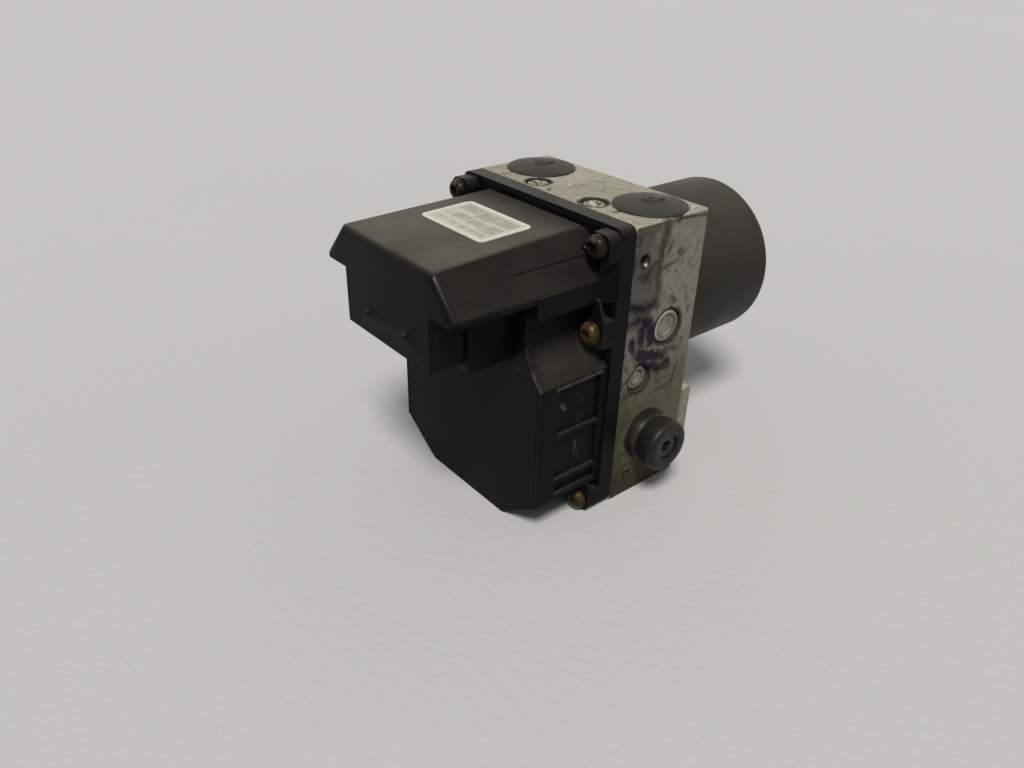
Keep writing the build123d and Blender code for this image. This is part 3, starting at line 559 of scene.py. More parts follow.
housingLook = {
    "plastic": colour(0.0040, 0.0040, 0.0044),
    "worn": colour(0.0080, 0.0078, 0.0074),
    "dust": colour(0.104, 0.098, 0.075),
    "haze": colour(0.058, 0.054, 0.041),
    "brown": colour(0.060, 0.045, 0.024),
    "chalk": colour(0.34, 0.335, 0.31),
    # colour of the painted highlights on the hood's and shoulder's edges
    "polish": colour(0.36, 0.358, 0.34),
    "torn": 380.0,
    "clouds": (45.0, 0.5, 0.18),
    "grain": 1600.0,
    "waves": 24.0,
    # the dust thins out below, and towards the back, where the thinning paints the shade by the flange; in
    # metres along Y and Z
    "dustAndShadeDepth": (-0.024, -0.046, 0.32, 1.0),
    "dustHeight": (0.050, 0.060, 0.25, 1.0),
    "shoulder": [((34.0, -44.0, 62.0), (33.5, -26.0, 62.5), 4.2)],
    "shoulderDirt": [((33.0, -28.5, 61.5), 1.1), ((33.4, -37.0, 64.5), 0.8), ((34.0, -41.5, 61.0), 1.2),
                     ((31.0, -33.0, 68.0), 1.0), ((35.5, -30.5, 57.8), 0.7)],
    "chalkSpots": [((28.0, -28.9, 94.6), 0.45), ((28.6, -27.9, 93.2), 0.4), ((28.9, -29.4, 92.0), 0.25),
                   ((36.0, -41.5, 59.5), 0.3), ((33.6, -36.0, 63.6), 0.25)],
    "scuffs": [((35.6, -32.9, 30.4), (35.6, -33.2, 25.4), 0.2),
               ((35.6, -31.3, 45.8), (35.6, -31.2, 44.6), 0.15),
               ((35.6, -39.6, 46.2), (35.6, -38.4, 44.6), 0.7)],
    "faintScuffs": [((35.6, -32.5, 28.0), (35.6, -31.0, 23.5), 0.5),
                    ((35.6, -32.0, 41.0), (35.6, -32.5, 36.0), 0.5)],
    # a painted highlight along the rounded edge from the hood's slope down its front
    "polished": [((24.6, -79.0, 94.9), (33.2, -79.0, 86.2), 0.22)],
    # fainter painted highlights along the shoulder's front edge and the sill beneath it
    "rubbed": [((29.4, -50.0, 67.0), (33.4, -50.0, 59.2), 0.2), ((33.4, -50.0, 59.2), (36.9, -50.0, 55.6), 0.4),
               ((37.1, -43.0, 54.0), (37.1, -24.5, 54.3), 0.5)],
    "layers": [
        ("haze", "dust", (55.0, 0.15, 0.8), 0.33, "haze"),
        ("dust", "dust", (40.0, 0.7, 1.0), 0.88, "dust"),
        ("shoulder", "smears", (3.4, 1.5), 0.36, "haze"),
        ("shoulderDirt", "spots", (1.5, 1.3), 0.4, "brown"),
        ("specks", "cloud", (560.0, 0.1, 0.04), 0.16, "dust"),
        ("polished", "smears", (0.35, 0.2), 0.8, "polish"),
        ("rubbed", "smears", (0.6, 0.4), 0.13, "polish"),
        ("faintScuffs", "smears", (0.8, 0.5), 0.2, "haze"),
        ("scuffs", "smears", (0.6, 0.4), 0.14, "chalk"),
        ("chalkSpots", "spots", (0.3, 0.9), 0.75, "chalk"),
    ],
    "skin": {"gloss": 0.05, "distance": 0.00012, "strength": 0.4},
    "merge": 0.000004,
    "flat": 1.5,  # faces that meet below this angle are joined
    "sharp": 32,
    "rounding": 0.00035,
}


def makeHousingPlastic():
    material, tree, shader, where = newMaterial("black_housing")
    look = housingLook
    clouds = cloudMask(tree, where, *look["clouds"])
    parts = split(tree, where)
    # dust thinned below and towards the back, the latter as painted shade by the flange
    forward = product(tree, spread(tree, parts["Y"], *look["dustAndShadeDepth"]),
                      spread(tree, parts["Z"], *look["dustHeight"]))
    base = covered(tree, look["plastic"], clouds, 0.6, look["worn"])
    base = layered(tree, where, frayed(tree, where, look["torn"]), base, look, {"dust": forward})
    grain = effect(tree, "mouldGrain", {"Vector": where, "Scale": look["grain"]})
    height = calc(tree, "ADD", product(tree, grain, 0.25), noise(tree, where, look["waves"], 2.0))
    connect(tree, shader, colour=base, roughness=spread(tree, clouds, 0.0, 1.0, 0.36, 0.46), height=height,
            **look["skin"])
    return material


housingPlastic = makeHousingPlastic()


def addHousing():
    # a merged copy of the moulding with its edges broken
    look = housingLook
    mesh = bmesh.new()
    mesh.from_mesh(nodes["ecu_housing"].data)
    bmesh.ops.remove_doubles(mesh, verts=mesh.verts, dist=look["merge"])
    bmesh.ops.dissolve_limit(mesh, angle_limit=radians(look["flat"]), verts=mesh.verts, edges=mesh.edges)
    piece = addPiece(mesh, "ecuHousing", housingPlastic, look["sharp"])
    soft = piece.modifiers.new("moulded edges", "BEVEL")
    soft.width = look["rounding"]
    soft.segments = 2
    soft.limit_method = "ANGLE"
    soft.angle_limit = radians(look["sharp"])
    soft.use_clamp_overlap = True
    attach(piece, "unit")
    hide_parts("ecu_housing")


addHousing()
print("housing dressed")

# label, a printed film with plain bars and no words

labelLook = {
    "film": colour(0.52, 0.505, 0.405),
    "border": colour(0.67, 0.655, 0.565),
    "bar": colour(0.25, 0.25, 0.20),
    "dark": colour(0.10, 0.10, 0.085),
    "middle": -46.7,  # along Y
    "wobble": 0.0005,
    "wear": (650.0, 4.0, 0.6),
    "spots": (240.0, 0.3, 0.1),
    # left, right, front, back of each part, in millimetres from the middle
    "inner": (-14.1, 14.1, -8.5, 8.5),
    "fields": [(-12.5, -4.0, 3.2, 7.6), (-3.2, 4.6, 1.6, 7.4), (5.2, 12.8, 2.4, 7.2),
               (-9.0, -1.6, -2.8, 0.9), (-0.8, 6.2, -3.4, 0.4), (7.0, 13.0, -4.4, 0.9)],
    "bars": [(-12.5, 13.0, -7.4, -5.2), (-12.8, -10.2, -2.9, 1.4)],
}


def makeLabelFilm():
    material, tree, shader, where = newMaterial("label_film")
    look = labelLook
    parts = split(tree, where)
    wobble = product(tree, frayed(tree, where, 900.0, 3.0, 0.55), look["wobble"])
    across = calc(tree, "ADD", parts["X"], wobble)
    back = calc(tree, "ADD", calc(tree, "SUBTRACT", parts["Y"], look["middle"] * mm), wobble)

    def panel(left, right, front, rear, soft):
        # one inside a soft rectangle
        edges = [spread(tree, value, (edge - soft) * mm, (edge + soft) * mm, low, 1.0 - low)
                 for value, edge, low in ((across, left, 0.0), (across, right, 1.0), (back, front, 0.0),
                                          (back, rear, 1.0))]
        return product(tree, *edges)

    worn = noise(tree, where, *look["wear"])
    base = mixed(tree, panel(*look["inner"], 0.3), look["border"], look["film"])
    faded = spread(tree, worn, 0.3, 0.62, 0.35, 0.8)
    for field in look["fields"]:
        base = covered(tree, base, panel(*field, 0.3), faded, look["bar"])
    ribs = spread(tree, stripes(tree, where, 210.0, "X", Distortion=1.2, Detail=2.0), 0.45, 0.6)
    broken = product(tree, ribs, spread(tree, worn, 0.45, 0.55))
    for bar in look["bars"]:
        base = covered(tree, base, product(tree, panel(*bar, 0.2), broken), 0.8, look["dark"])
    base = covered(tree, base, cloudMask(tree, where, *look["spots"]), 0.25, look["bar"])
    connect(tree, shader, colour=base, roughness=0.5, height=worn, distance=0.00004)
    return material


labelFilm = makeLabelFilm()

# painted motor can

canLook = {
    "paint": colour(0.0105, 0.0100, 0.0070),
    "dull": colour(0.0175, 0.0165, 0.0115),
    "dust": colour(0.080, 0.075, 0.056),
    "dirt": colour(0.0105, 0.0095, 0.0060),
    "rust": colour(0.055, 0.034, 0.018),
    "chip": colour(0.42, 0.41, 0.35),
    "torn": 300.0,
    "clouds": (34.0, 0.5, 0.2),
    "grain": 900.0,
    "chips": [((27.0, 62.5, 48.0), 0.28)],
    "greased": [((-0.7, 46.5, 91.7), (0.9, 40.6, 91.7), 0.9)],
    "layers": [
        ("dust", "dust", (60.0, 0.1, 1.0), 0.4, "dust"),
        ("patches", "cloud", (110.0, 0.25, 0.08), 0.3, "dull"),
        ("rust", "cloud", (330.0, 0.1, 0.05), 0.3, "rust"),
        ("greased", "smears", (1.0, 1.2), 0.7, "dirt"),
        ("chips", "spots", (0.25, 0.4), 0.9, "chip"),
    ],
    "skin": {"gloss": 0.14, "distance": 0.00004, "strength": 0.4},
    "segments": 128,
    "place": (0, 16.5, 61.5),
    # height from the block's back and radius, from the middle of the boss round to the bearing seat
    "profile": [(56.5, 0), (56.5, 9.4), (56.2, 10.1), (55.6, 10.45), (54.1, 10.7), (53.55, 11.6), (53.5, 12.6),
                (53.5, 27.2), (53.27, 28.35), (52.62, 29.32), (51.65, 29.97), (50.5, 30.2), (-1.0, 30.2),
                (-1.0, 28.4), (51.7, 28.4), (51.7, 8.22), (54.7, 8.22), (54.7, 0)],
}


def makeCanPaint():
    material, tree, shader, where = newMaterial("motor_paint")
    look = canLook
    clouds = cloudMask(tree, where, *look["clouds"])
    base = mixed(tree, clouds, look["paint"], look["dull"])
    base = layered(tree, where, frayed(tree, where, look["torn"]), base, look)
    connect(tree, shader, colour=base, roughness=spread(tree, clouds, 0, 1, 0.46, 0.58),
            height=effect(tree, "mouldGrain", {"Vector": where, "Scale": look["grain"]}), **look["skin"])
    return material


canPaint = makeCanPaint()


def addMotorCan():
    mesh = spun(canLook["profile"], canLook["segments"])
    placed(mesh, canLook["place"], (0, 1, 0))
    finished(mesh, "motorCan", canPaint, "unit", "motor_can", smooth=25)


addMotorCan()
print("motor can spun")

# transport caps

capLook = {
    "plastic": colour(0.0265, 0.0245, 0.0190),
    "pale": colour(0.0380, 0.0350, 0.0275),
    "dirt": colour(0.020, 0.018, 0.014),
    "bare": colour(0.115, 0.11, 0.09),
    "torn": 300.0,
    "clouds": (70.0, 0.5, 0.2),
    "grain": 1300.0,
    "sector": [((24.2, 8.5, 101.2), (22.4, 13.6, 100.8), 1.6)],
    "scuffs": [((-21.5, 8.8, 101.2), (-18.6, 6.0, 101.2), 0.15),
               ((29.5, -3.2, 101.5), (32.2, -1.0, 101.3), 0.15)],
    "layers": [
        ("dirt", "cloud", (260.0, 0.2, 0.1), 0.35, "dirt"),
        ("sector", "smears", (2.2, 0.8), 0.6, "bare"),
        ("scuffs", "smears", (0.2, 0.1), 0.4, "dirt"),
    ],
    "skin": {"gloss": 0.15, "roughness": 0.5, "distance": 0.00003, "strength": 0.4},
    "segments": 96,
    "place": (26.0, 2.4, 100.0),
    "profile": [(2.05, 0), (2.05, 0.7), (2.4, 0.95), (2.4, 2.3), (2.28, 2.6), (2.0, 2.8), (1.85, 3.1),
                (1.80, 4.2), (1.72, 5.6), (1.35, 8.2), (0.90, 10.6), (0.72, 11.5), (0.52, 11.95), (0.28, 12.1),
                (0.06, 12.05), (0.0, 11.8), (0.0, 5.25), (-2.5, 5.25), (-2.9, 5.38), (-4.0, 5.38),
                (-4.4, 5.25), (-5.7, 5.25), (-6.1, 5.38), (-7.2, 5.38), (-7.6, 5.25), (-8.7, 5.1),
                (-9.0, 4.9), (-9.0, 3.85), (-0.1, 3.85), (-0.1, 0)],
    "point": (1.8, 3.4, 1.9),  # moulding point beside the button
    "pointRadius": 0.95,
    "pointHeight": 0.5,  # as a share of the radius
}


def makeCapPlastic():
    material, tree, shader, where = newMaterial("cap_plastic")
    look = capLook
    base = mixed(tree, cloudMask(tree, where, *look["clouds"]), look["plastic"], look["pale"])
    base = layered(tree, where, frayed(tree, where, look["torn"]), base, look)
    grain = effect(tree, "mouldGrain", {"Vector": where, "Scale": look["grain"]})
    connect(tree, shader, colour=base, height=grain, **look["skin"])
    return material


capPlastic = makeCapPlastic()


def addPortCap(name, side):
    look = capLook
    mesh = spun(look["profile"], look["segments"])
    bump = bmesh.ops.create_uvsphere(mesh, u_segments=20, v_segments=12, radius=look["pointRadius"])["verts"]
    bmesh.ops.scale(mesh, vec=(1, 1, look["pointHeight"]), verts=bump)
    bmesh.ops.translate(mesh, vec=look["point"], verts=bump)
    x, y, z = look["place"]
    placed(mesh, (side * x, y, z), (0, 0, 1))
    finished(mesh, "portCap." + name, capPlastic, "unit", "port_cap_" + name, smooth=40)


for name, side in sides.items():
    addPortCap(name, side)
print("caps spun")

# pressed plugs

plugLook = {
    "steel": colour(0.26, 0.255, 0.205),
    "tarnish": colour(0.13, 0.120, 0.082),
    "dirt": colour(0.045, 0.038, 0.022),
    "bright": colour(0.50, 0.49, 0.41),
    "fouled": colour(0.036, 0.034, 0.020),
    "cream": colour(0.46, 0.44, 0.33),
    "clouds": (230.0, 0.45, 0.15),
    "specks": (420.0, 0.18, 0.08),
    "torn": (520.0, 5.0, 0.7),
    "skin": {"metallic": 0.7, "distance": 0.00002, "strength": 0.4},
    "fouledSkin": {"roughness": 0.5, "metallic": 0.3, "distance": 0.00015, "strength": 0.6},
    # bands on the plugs in the sides: how far inward, half width, strength and colour; the bright band is a
    # painted highlight round the rim's outer slope, the outer dark band painted shade where the plug falls into
    # its bore, the inner dark band darkens the rim's fall into the dish
    "bands": [(0.9, 0.55, 0.6, "bright"), (2.1, 0.7, 0.6, "dirt"), (-0.3, 0.9, 0.95, "dirt")],
    "bandDepth": 0.4,  # below the face
    "bandFade": 0.1,
    "segments": 64,
    # place of the face, radius and length of each plug
    "pump": ((38.0, 3.4, 62.4), 6.2, 6.0),
    "side": ((37.3, -7.7, 46.3), 4.9, 6.0),
    "top": ((13.5, -9.9, 99.7), 4.4, 5.0),
    "under": ((16.0, 5.5, 0.4), 8.5, 3.0),
    # height over the face and distance from the rim, over the rounded shoulder into the dished middle
    "shoulder": [(-1.6, 0), (-1.25, 0.06), (-0.75, 0.35), (-0.3, 0.8), (-0.06, 1.2), (0.0, 1.5), (-0.06, 1.75),
                 (-0.35, 2.1), (-0.9, 2.7), (-1.05, 3.1)],
    "dish": [(-1.1, 0.9), (-1.1, 0)],
    "chamfer": 0.3,
}


def makePlugSteel():
    # smooth pressed steel, tarnished in the dished middle
    material, tree, shader, where = newMaterial("plug_steel")
    look = plugLook
    clouds = cloudMask(tree, where, *look["clouds"])
    base = mixed(tree, clouds, look["steel"], look["tarnish"])
    base = covered(tree, base, cloudMask(tree, where, *look["specks"]), 0.5, look["dirt"])
    parts = split(tree, where)
    folded = put(tree, "CombineXYZ", {0: calc(tree, "ABSOLUTE", parts["X"]), 1: parts["Y"], 2: parts["Z"]})
    # bands: a painted highlight on the rim and painted shade at the bore
    for (x, y, z), radius, length in (look["pump"], look["side"]):
        away = vectorCalc(tree, "DISTANCE", folded.outputs[0], scaled((x - look["bandDepth"], y, z)))
        for inward, half, strength, tint in look["bands"]:
            band = calc(tree, "ABSOLUTE", calc(tree, "SUBTRACT", away, (radius - inward) * mm))
            band = spread(tree, band, half * mm, look["bandFade"] * mm)
            base = covered(tree, base, band, strength, look[tint])
    connect(tree, shader, colour=base, roughness=spread(tree, clouds, 0, 1, 0.28, 0.42),
            height=noise(tree, where, 500.0), **look["skin"])
    return material


def makeFouledSteel():
    # the top plugs, with dark grime broken by bare patches
    material, tree, shader, where = newMaterial("fouled_steel")
    look = plugLook
    torn = noise(tree, where, *look["torn"])
    base = mixed(tree, spread(tree, torn, 0.44, 0.56), look["fouled"], look["cream"])
    base = covered(tree, base, spread(tree, noise(tree, where, 1100.0), 0.55, 0.65), 0.6, look["tarnish"])
    connect(tree, shader, colour=base, height=torn, **look["fouledSkin"])
    return material


plugSteel = makePlugSteel()
fouledSteel = makeFouledSteel()


def plugDrawing(kind, side, along):
    look = plugLook
    (x, y, z), radius, length = look[kind]
    chamfer = look["chamfer"]
    profile = [(-length, 0), (-length, radius - chamfer), (chamfer - length, radius)]
    profile += [(height, radius - inward) for height, inward in look["shoulder"]] + look["dish"]
    mesh = spun(profile, look["segments"])
    placed(mesh, (side * x, y, z), along)
    return mesh


def addPlugs():
    for name, side in sides.items():
        for kind, along, node in (("pump", (side, 0, 0), "pump_plug_"), ("side", (side, 0, 0), "side_plug_"),
                                  ("under", (0, 0, -1), "accumulator_lid_")):
            finished(plugDrawing(kind, side, along), kind + "Plug." + name, plugSteel, "unit",
                     node + name, smooth=50)
    pair = gathered([plugDrawing("top", side, (0, 0, 1)) for side in sides.values()])
    finished(pair, "topPlugs", fouledSteel, "unit", "top_gallery_plugs", smooth=50)


addPlugs()
print("plugs spun")

# rubber mounts and their studs

mountLook = {
    "rubber": colour(0.0068, 0.0066, 0.0056),
    # whitish bloom of the rubber, also the colour of the painted sheen
    "bloom": colour(0.030, 0.030, 0.027),
    "dust": colour(0.026, 0.025, 0.018),
    "stud": colour(0.036, 0.033, 0.022),
    "studDirt": colour(0.020, 0.018, 0.012),
    "torn": 300.0,
    "grain": 1100.0,
    "studClouds": (260.0, 0.5, 0.15),
    # a painted sheen on the flange's upper front
    "sheen": [((40.3, -7.5, 29.5), (40.3, -10.3, 23.5), 1.0)],
    "layers": [
        ("bloom", "cloud", (110.0, 0.42, 0.2), 0.3, "bloom"),
        ("dust", "dust", (150.0, 0.3, 1.0), 0.5, "dust"),
        ("sheen", "smears", (1.4, 0.6), 0.8, "bloom"),
    ],
    "skin": {"gloss": 0.2, "roughness": 0.42, "distance": 0.00004, "strength": 0.4},
    "studSkin": {"roughness": 0.5, "metallic": 0.5, "distance": 0.00004},
    "segments": 96,
    "place": (38.3, -2.0, 22.8),
    # height from the block's side and radius
    "profile": [(0.0, 4.43), (0.0, 8.45), (0.18, 8.7), (2.3, 8.7), (2.75, 8.62), (3.1, 8.42), (3.4, 8.2),
                (3.7, 8.15), (4.9, 8.15), (5.2, 8.25), (5.45, 8.7), (5.8, 9.05), (6.2, 9.2), (9.8, 9.2),
                (10.5, 9.06), (11.1, 8.7), (11.45, 8.15), (11.6, 7.4), (11.6, 4.75), (11.4, 4.43)],
    "studSegments": 48,
    "studRings": [(-8.0, 2.7), (-7.6, 3.0), (-0.02, 3.0), (-0.01, 4.4), (10.35, 4.4), (10.7, 4.05),
                  (10.7, 2.75), (10.45, 2.1, "hex"), (6.5, 2.0, "hex"), (6.2, 0.9)],
}


def makeMountRubber():
    material, tree, shader, where = newMaterial("mount_rubber")
    look = mountLook
    base = layered(tree, where, frayed(tree, where, look["torn"]), look["rubber"], look)
    grain = effect(tree, "mouldGrain", {"Vector": where, "Scale": look["grain"]})
    connect(tree, shader, colour=base, height=grain, **look["skin"])
    return material


def makeStudSteel():
    material, tree, shader, where = newMaterial("stud_steel")
    look = mountLook
    base = mixed(tree, cloudMask(tree, where, *look["studClouds"]), look["stud"], look["studDirt"])
    connect(tree, shader, colour=base, height=noise(tree, where, 900.0), **look["studSkin"])
    return material


mountRubber = makeMountRubber()
studSteel = makeStudSteel()


def addMount(name, side):
    look = mountLook
    x, y, z = look["place"]
    drum = spun(look["profile"], look["segments"], closed=True)
    stud = bmesh.new()
    addRings(stud, look["studRings"], look["studSegments"])
    for mesh in (drum, stud):
        placed(mesh, (side * x, y, z), (side, 0, 0))
    finished(drum, "rubberMount." + name, mountRubber, "unit", "rubber_mount_" + name, smooth=50)
    finished(stud, "mountStud." + name, studSteel, "unit", "mount_stud_" + name)


for name, side in sides.items():
    addMount(name, side)
print("mounts built")

# control unit screws

screwLook = {
    "zinc": colour(0.092, 0.060, 0.023),
    "zincDirt": colour(0.026, 0.018, 0.008),
    "rust": colour(0.015, 0.009, 0.0055),
    "darkRust": colour(0.006, 0.004, 0.0026),
    "bare": colour(0.26, 0.23, 0.18),
    "torn": 600.0,
    "clouds": (340.0, 0.5, 0.1),
    "specks": (620.0, 0.3, 0.08),
    "rustFrom": 0.085,  # height of the rusty ones
    "metal": 0.3,
    "metalLost": 0.28,
    # painted highlights on the top of the upper screws' heads, in the bare colour
    "worn": [((34.3, -29.9, 97.9), 0.6), ((-33.7, -29.9, 97.9), 0.6)],
    "layers": [
        ("worn", "spots", (1.0, 0.5), 0.4, "bare"),
    ],
    "skin": {"gloss": 0.14, "distance": 0.00005, "strength": 0.5},
    "places": [(side * 34.0, -27.5, height) for side in (-1, 1) for height in (3.9, 67.6, 95.5)],
    "segments": 48,
    # height over the seat, radius and form, from the point to the bottom of the socket
    "rings": [(-23.0, 1.3), (-22.6, 1.7), (-11.0, 1.7), (-11.0, 2.0), (0.0, 2.0), (0.0, 3.55), (0.15, 3.7),
              (0.9, 3.7), (1.5, 3.58), (2.1, 3.28), (2.6, 2.8), (2.9, 2.3), (3.0, 1.85), (2.8, 1.6, "lobe"),
              (1.3, 1.5, "lobe"), (1.1, 0.7)],
}


def makeScrewZinc():
    # the two upper screws are rusty, with a painted highlight on the top of each head, the others keep their
    # yellow zinc
    material, tree, shader, where = newMaterial("zinc_steel")
    look = screwLook
    upper = calc(tree, "GREATER_THAN", split(tree, where)["Z"], look["rustFrom"])
    clouds = cloudMask(tree, where, *look["clouds"])
    zinc = mixed(tree, clouds, look["zinc"], look["zincDirt"])
    rust = mixed(tree, clouds, look["rust"], look["darkRust"])
    rust = layered(tree, where, frayed(tree, where, look["torn"]), rust, look)
    base = covered(tree, mixed(tree, upper, zinc, rust), cloudMask(tree, where, *look["specks"]), 0.6,
                   look["darkRust"])
    metallic = calc(tree, "SUBTRACT", look["metal"], product(tree, upper, look["metalLost"]))
    connect(tree, shader, colour=base, roughness=spread(tree, clouds, 0, 1, 0.3, 0.45), metallic=metallic,
            height=noise(tree, where, 900.0, 4.0), **look["skin"])
    return material


zincSteel = makeScrewZinc()


def screwDrawing(place):
    mesh = bmesh.new()
    addRings(mesh, screwLook["rings"], screwLook["segments"])
    placed(mesh, place, (0, -1, 0))
    return mesh


finished(gathered([screwDrawing(place) for place in screwLook["places"]]), "ecuScrews", zincSteel, "unit",
         "ecu_screws", smooth=40)
print("screws built")

# inner pieces and what keeps its CAD shape

plainLooks = {
    # first and second tone, scale of the clouds, roughness and metallic
    "machined_steel": ((0.52, 0.51, 0.48), (0.36, 0.35, 0.32), 180, 0.32, 0.9),
    "spring_steel": ((0.30, 0.30, 0.29), (0.20, 0.20, 0.19), 300, 0.35, 0.9),
    "piston_metal": ((0.48, 0.47, 0.43), (0.36, 0.35, 0.32), 140, 0.38, 0.7),
    "magnet_ceramic": ((0.035, 0.036, 0.040), (0.055, 0.055, 0.058), 220, 0.6, 0.0),
    "carbon": ((0.018, 0.018, 0.019), (0.035, 0.035, 0.034), 400, 0.65, 0.0),
    "gasket_rubber": ((0.020, 0.020, 0.021), (0.034, 0.033, 0.032), 300, 0.7, 0.0),
    "brush_plate_plastic": ((0.10, 0.075, 0.045), (0.075, 0.055, 0.034), 160, 0.5, 0.0),
    "pin_metal": ((0.60, 0.57, 0.46), (0.48, 0.44, 0.34), 500, 0.28, 0.9),
}


def makePlain(name, first, second, scale, roughness, metallic):
    # a clean inner surface: two tones in a cloud and a fine skin
    material, tree, shader, where = newMaterial(name)
    fine = noise(tree, where, scale * 9)
    base = mixed(tree, cloudMask(tree, where, scale, 0.5, 0.25), colour(*first), colour(*second))
    base = mixed(tree, spread(tree, fine, 0.4, 0.8, 0.0, 0.3), base, colour(*second))
    connect(tree, shader, colour=base, height=fine, distance=0.00004, metallic=metallic,
            roughness=spread(tree, fine, 0.2, 0.8, roughness - 0.08, roughness + 0.08))
    return material


def makeWound(name, scale, axis):
    # enamelled wire: fine ridges across one direction
    material, tree, shader, where = newMaterial(name)
    ridges = stripes(tree, where, scale, axis, **{"Distortion": 1.5, "Detail": 2.0, "Detail Scale": 2.0})
    base = mixed(tree, spread(tree, ridges, 0.1, 0.9), colour(0.22, 0.07, 0.025), colour(0.62, 0.26, 0.11))
    connect(tree, shader, colour=base, roughness=0.32, metallic=0.85, height=ridges, distance=0.00015)
    return material


def makeLayered(name):
    # the stacked sheets of the motor's core
    material, tree, shader, where = newMaterial(name)
    sheets = stripes(tree, where, 320.0, "Y", Distortion=0.3)
    base = mixed(tree, spread(tree, sheets, 0.1, 0.5), colour(0.09, 0.085, 0.08), colour(0.30, 0.30, 0.30))
    connect(tree, shader, colour=base, roughness=0.45, metallic=0.8, height=sheets, distance=0.0001)
    return material


def makeBoard():
    # solder mask with copper tracks and vias under it
    material, tree, shader, where = newMaterial("board")
    cells = put(tree, "TexVoronoi", {"Vector": where, "Scale": 160.0}, feature="DISTANCE_TO_EDGE")
    dots = put(tree, "TexVoronoi", {"Vector": where, "Scale": 420.0})
    tracks = spread(tree, cells.outputs["Distance"], 0.02, 0.05, 1.0, 0.0)
    vias = spread(tree, dots.outputs["Distance"], 0.1, 0.16, 1.0, 0.0)
    base = mixed(tree, tracks, colour(0.012, 0.075, 0.028), colour(0.03, 0.14, 0.05))
    base = mixed(tree, vias, base, colour(0.45, 0.42, 0.33))
    connect(tree, shader, colour=base, roughness=0.35, height=tracks, distance=0.00003)
    return material


plain = {name: makePlain(name, *look) for name, look in plainLooks.items()}
coilWire = makeWound("coil_copper", 600.0, "Y")
machined = plain["machined_steel"]

dressing = {
    "valve_block": blockMetal, "ecu_lid": housingPlastic, "ecu_label": labelFilm, "circuit_board": makeBoard(),
    "ecu_gasket": plain["gasket_rubber"], "connector_pins": plain["pin_metal"], "sealing_balls": studSteel,
    "armature_core": makeLayered("core_steel"), "armature_winding": makeWound("winding_copper", 420.0, "Z"),
    "commutator": makeWound("commutator_copper", 260.0, "X"), "motor_shaft": machined,
    "eccentric_ring": machined, "rear_bearing": machined, "front_bearing": machined,
    "brush_plate": plain["brush_plate_plastic"], "brush_upper": plain["carbon"], "brush_lower": plain["carbon"],
}
for name in sides:
    dressing.update({"magnet_" + name: plain["magnet_ceramic"], "pump_piston_" + name: machined,
                     "accumulator_piston_" + name: plain["piston_metal"]})
for kind in ("inlet", "outlet"):
    for number in range(1, 5):
        dressing["%s_valve_%d" % (kind, number)] = machined
        dressing["%s_coil_%d" % (kind, number)] = coilWire
for node, material in dressing.items():
    nodes[node].data.materials.clear()
    nodes[node].data.materials.append(material)
print("inner pieces dressed:", len(dressing))

# round wire springs

springLook = {
    "sides": 12,
    "steps": 36,  # in one turn
    "pump": {"wire": 0.9, "turns": 3.4, "closed": 0.5},
    "accumulator": {"wire": 1.1, "turns": 4.5, "closed": 0.75},
    "stroke": 8.0,  # of the accumulator pistons
}


def coiled(kind, reach, length):
    # winds a round wire about +Z from height 0 up to length, with closed ends
    look = springLook[kind]
    wire, closed = look["wire"], look["closed"]
    mesh = bmesh.new()
    bmesh.ops.create_circle(mesh, cap_ends=True, segments=springLook["sides"], radius=wire / 2)
    bmesh.ops.rotate(mesh, cent=(0, 0, 0), matrix=Matrix.Rotation(pi / 2, 3, "X"), verts=mesh.verts)
    bmesh.ops.translate(mesh, vec=(reach, 0, wire / 2), verts=mesh.verts)
    last = mesh.verts[:] + mesh.edges[:]
    end = (closed, closed * wire)
    middle = (look["turns"] - 2 * closed, length - wire - 2 * closed * wire)
    for turns, rise in (end, middle, end):
        steps = round(turns * springLook["steps"])
        last = bmesh.ops.spin(mesh, geom=last, cent=(0, 0, 0), axis=(0, 0, 1), dvec=(0, 0, rise / steps),
                              angle=2 * pi * turns, steps=steps)["geom_last"]
    bmesh.ops.contextual_create(mesh, geom=[part for part in last if isinstance(part, bmesh.types.BMEdge)])
    return mesh


def addPumpSpring(name, side):
    low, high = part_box("pump_spring_" + name)
    middle, near = (low + high) / 2, low.x if side > 0 else high.x
    mesh = coiled("pump", (high.z - low.z) / 2 / mm - springLook["pump"]["wire"] / 2, (high.x - low.x) / mm)
    placed(mesh, Vector((near, middle.y, middle.z)) / mm, (side, 0, 0))
    piece = finished(mesh, "pumpSpring." + name, plain["spring_steel"], None, "pump_spring_" + name)
    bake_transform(piece)


def addAccumulatorSpring(name):
    low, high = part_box("accumulator_spring_" + name)
    middle, length = (low + high) / 2, (high.z - low.z) / mm
    foot = (middle.x, middle.y, low.z)
    mesh = coiled("accumulator", (high.x - low.x) / 2 / mm - springLook["accumulator"]["wire"] / 2, length)
    placed(mesh, Vector(foot) / mm, (0, 0, 1))
    piece = finished(mesh, "accumulatorSpring." + name, plain["spring_steel"], "unit",
                     "accumulator_spring_" + name)
    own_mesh(piece)


for name, side in sides.items():
    addPumpSpring(name, side)
    addAccumulatorSpring(name)
print("springs wound")

# floor and light

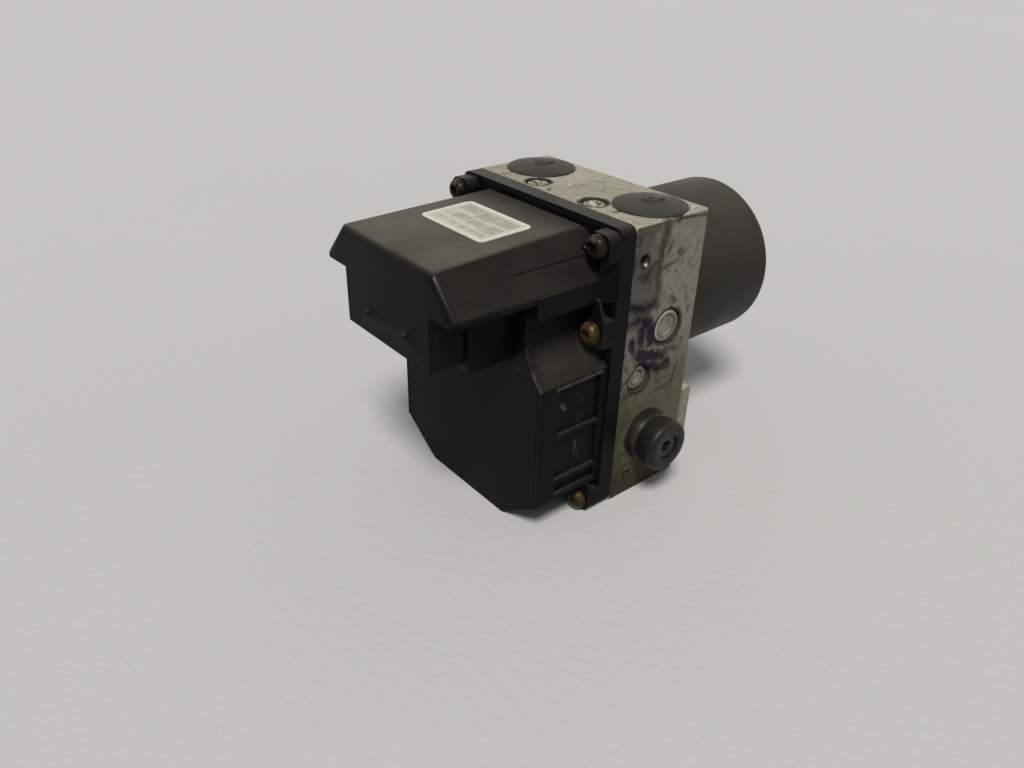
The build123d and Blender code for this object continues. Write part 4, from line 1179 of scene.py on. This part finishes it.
stageLook = {
    "floor": colour(0.58, 0.58, 0.57),
    "floorShade": colour(0.55, 0.55, 0.545),
    "floorRadius": 6.0,
    "floorDrop": 0.00015,  # keeps it clear of the block's underside
    "sky": colour(0.98, 0.98, 0.96),
    "fill": 0.24,
    "seen": 0.86,
    "keyFrom": (0.39, -0.40, 0.83),
    "keyStrength": 2.7,
    "keySpread": 16.0,
    "keyTint": (1.0, 0.985, 0.95),
}


def addFloor():
    look = stageLook
    material, tree, shader, where = newMaterial("floor_paint")
    tone = mixed(tree, noise(tree, where, 3.0, 4.0), look["floor"], look["floorShade"])
    connect(tree, shader, colour=tone, roughness=0.8, height=noise(tree, where, 300.0), distance=0.0002)
    mesh = bmesh.new()
    bmesh.ops.create_circle(mesh, cap_ends=True, segments=96, radius=look["floorRadius"])
    bmesh.ops.translate(mesh, vec=(0, 0, -look["floorDrop"]), verts=mesh.verts)
    floor = addPiece(mesh, "floor", material, smooth=32)


def addSky():
    # the bright backdrop is seen by the camera and in gloss; its light on the object is the fill
    world = bpy.data.worlds.new("studio")
    world.use_nodes = True
    bpy.context.scene.world = world
    tree = world.node_tree
    backdrop = tree.nodes["Background"]
    backdrop.inputs["Color"].default_value = stageLook["sky"]
    rays = put(tree, "LightPath").outputs
    seen = calc(tree, "MAXIMUM", rays["Is Glossy Ray"], rays["Is Transmission Ray"])
    seen = calc(tree, "MAXIMUM", rays["Is Camera Ray"], seen)
    strength = put(tree, "Mix", {0: seen, 2: stageLook["fill"], 3: stageLook["seen"]}, data_type="FLOAT")
    tree.links.new(strength.outputs[0], backdrop.inputs["Strength"])


def addKey():
    data = bpy.data.lights.new("key", "SUN")
    data.energy = stageLook["keyStrength"]
    data.angle = radians(stageLook["keySpread"])
    data.color = stageLook["keyTint"]
    key = bpy.data.objects.new("key", data)
    key.location = stageLook["keyFrom"]
    key.rotation_euler = Vector(stageLook["keyFrom"]).to_track_quat("Z", "Y").to_euler()
    bpy.context.scene.collection.objects.link(key)


addFloor()
addSky()
addKey()
print("stage set")
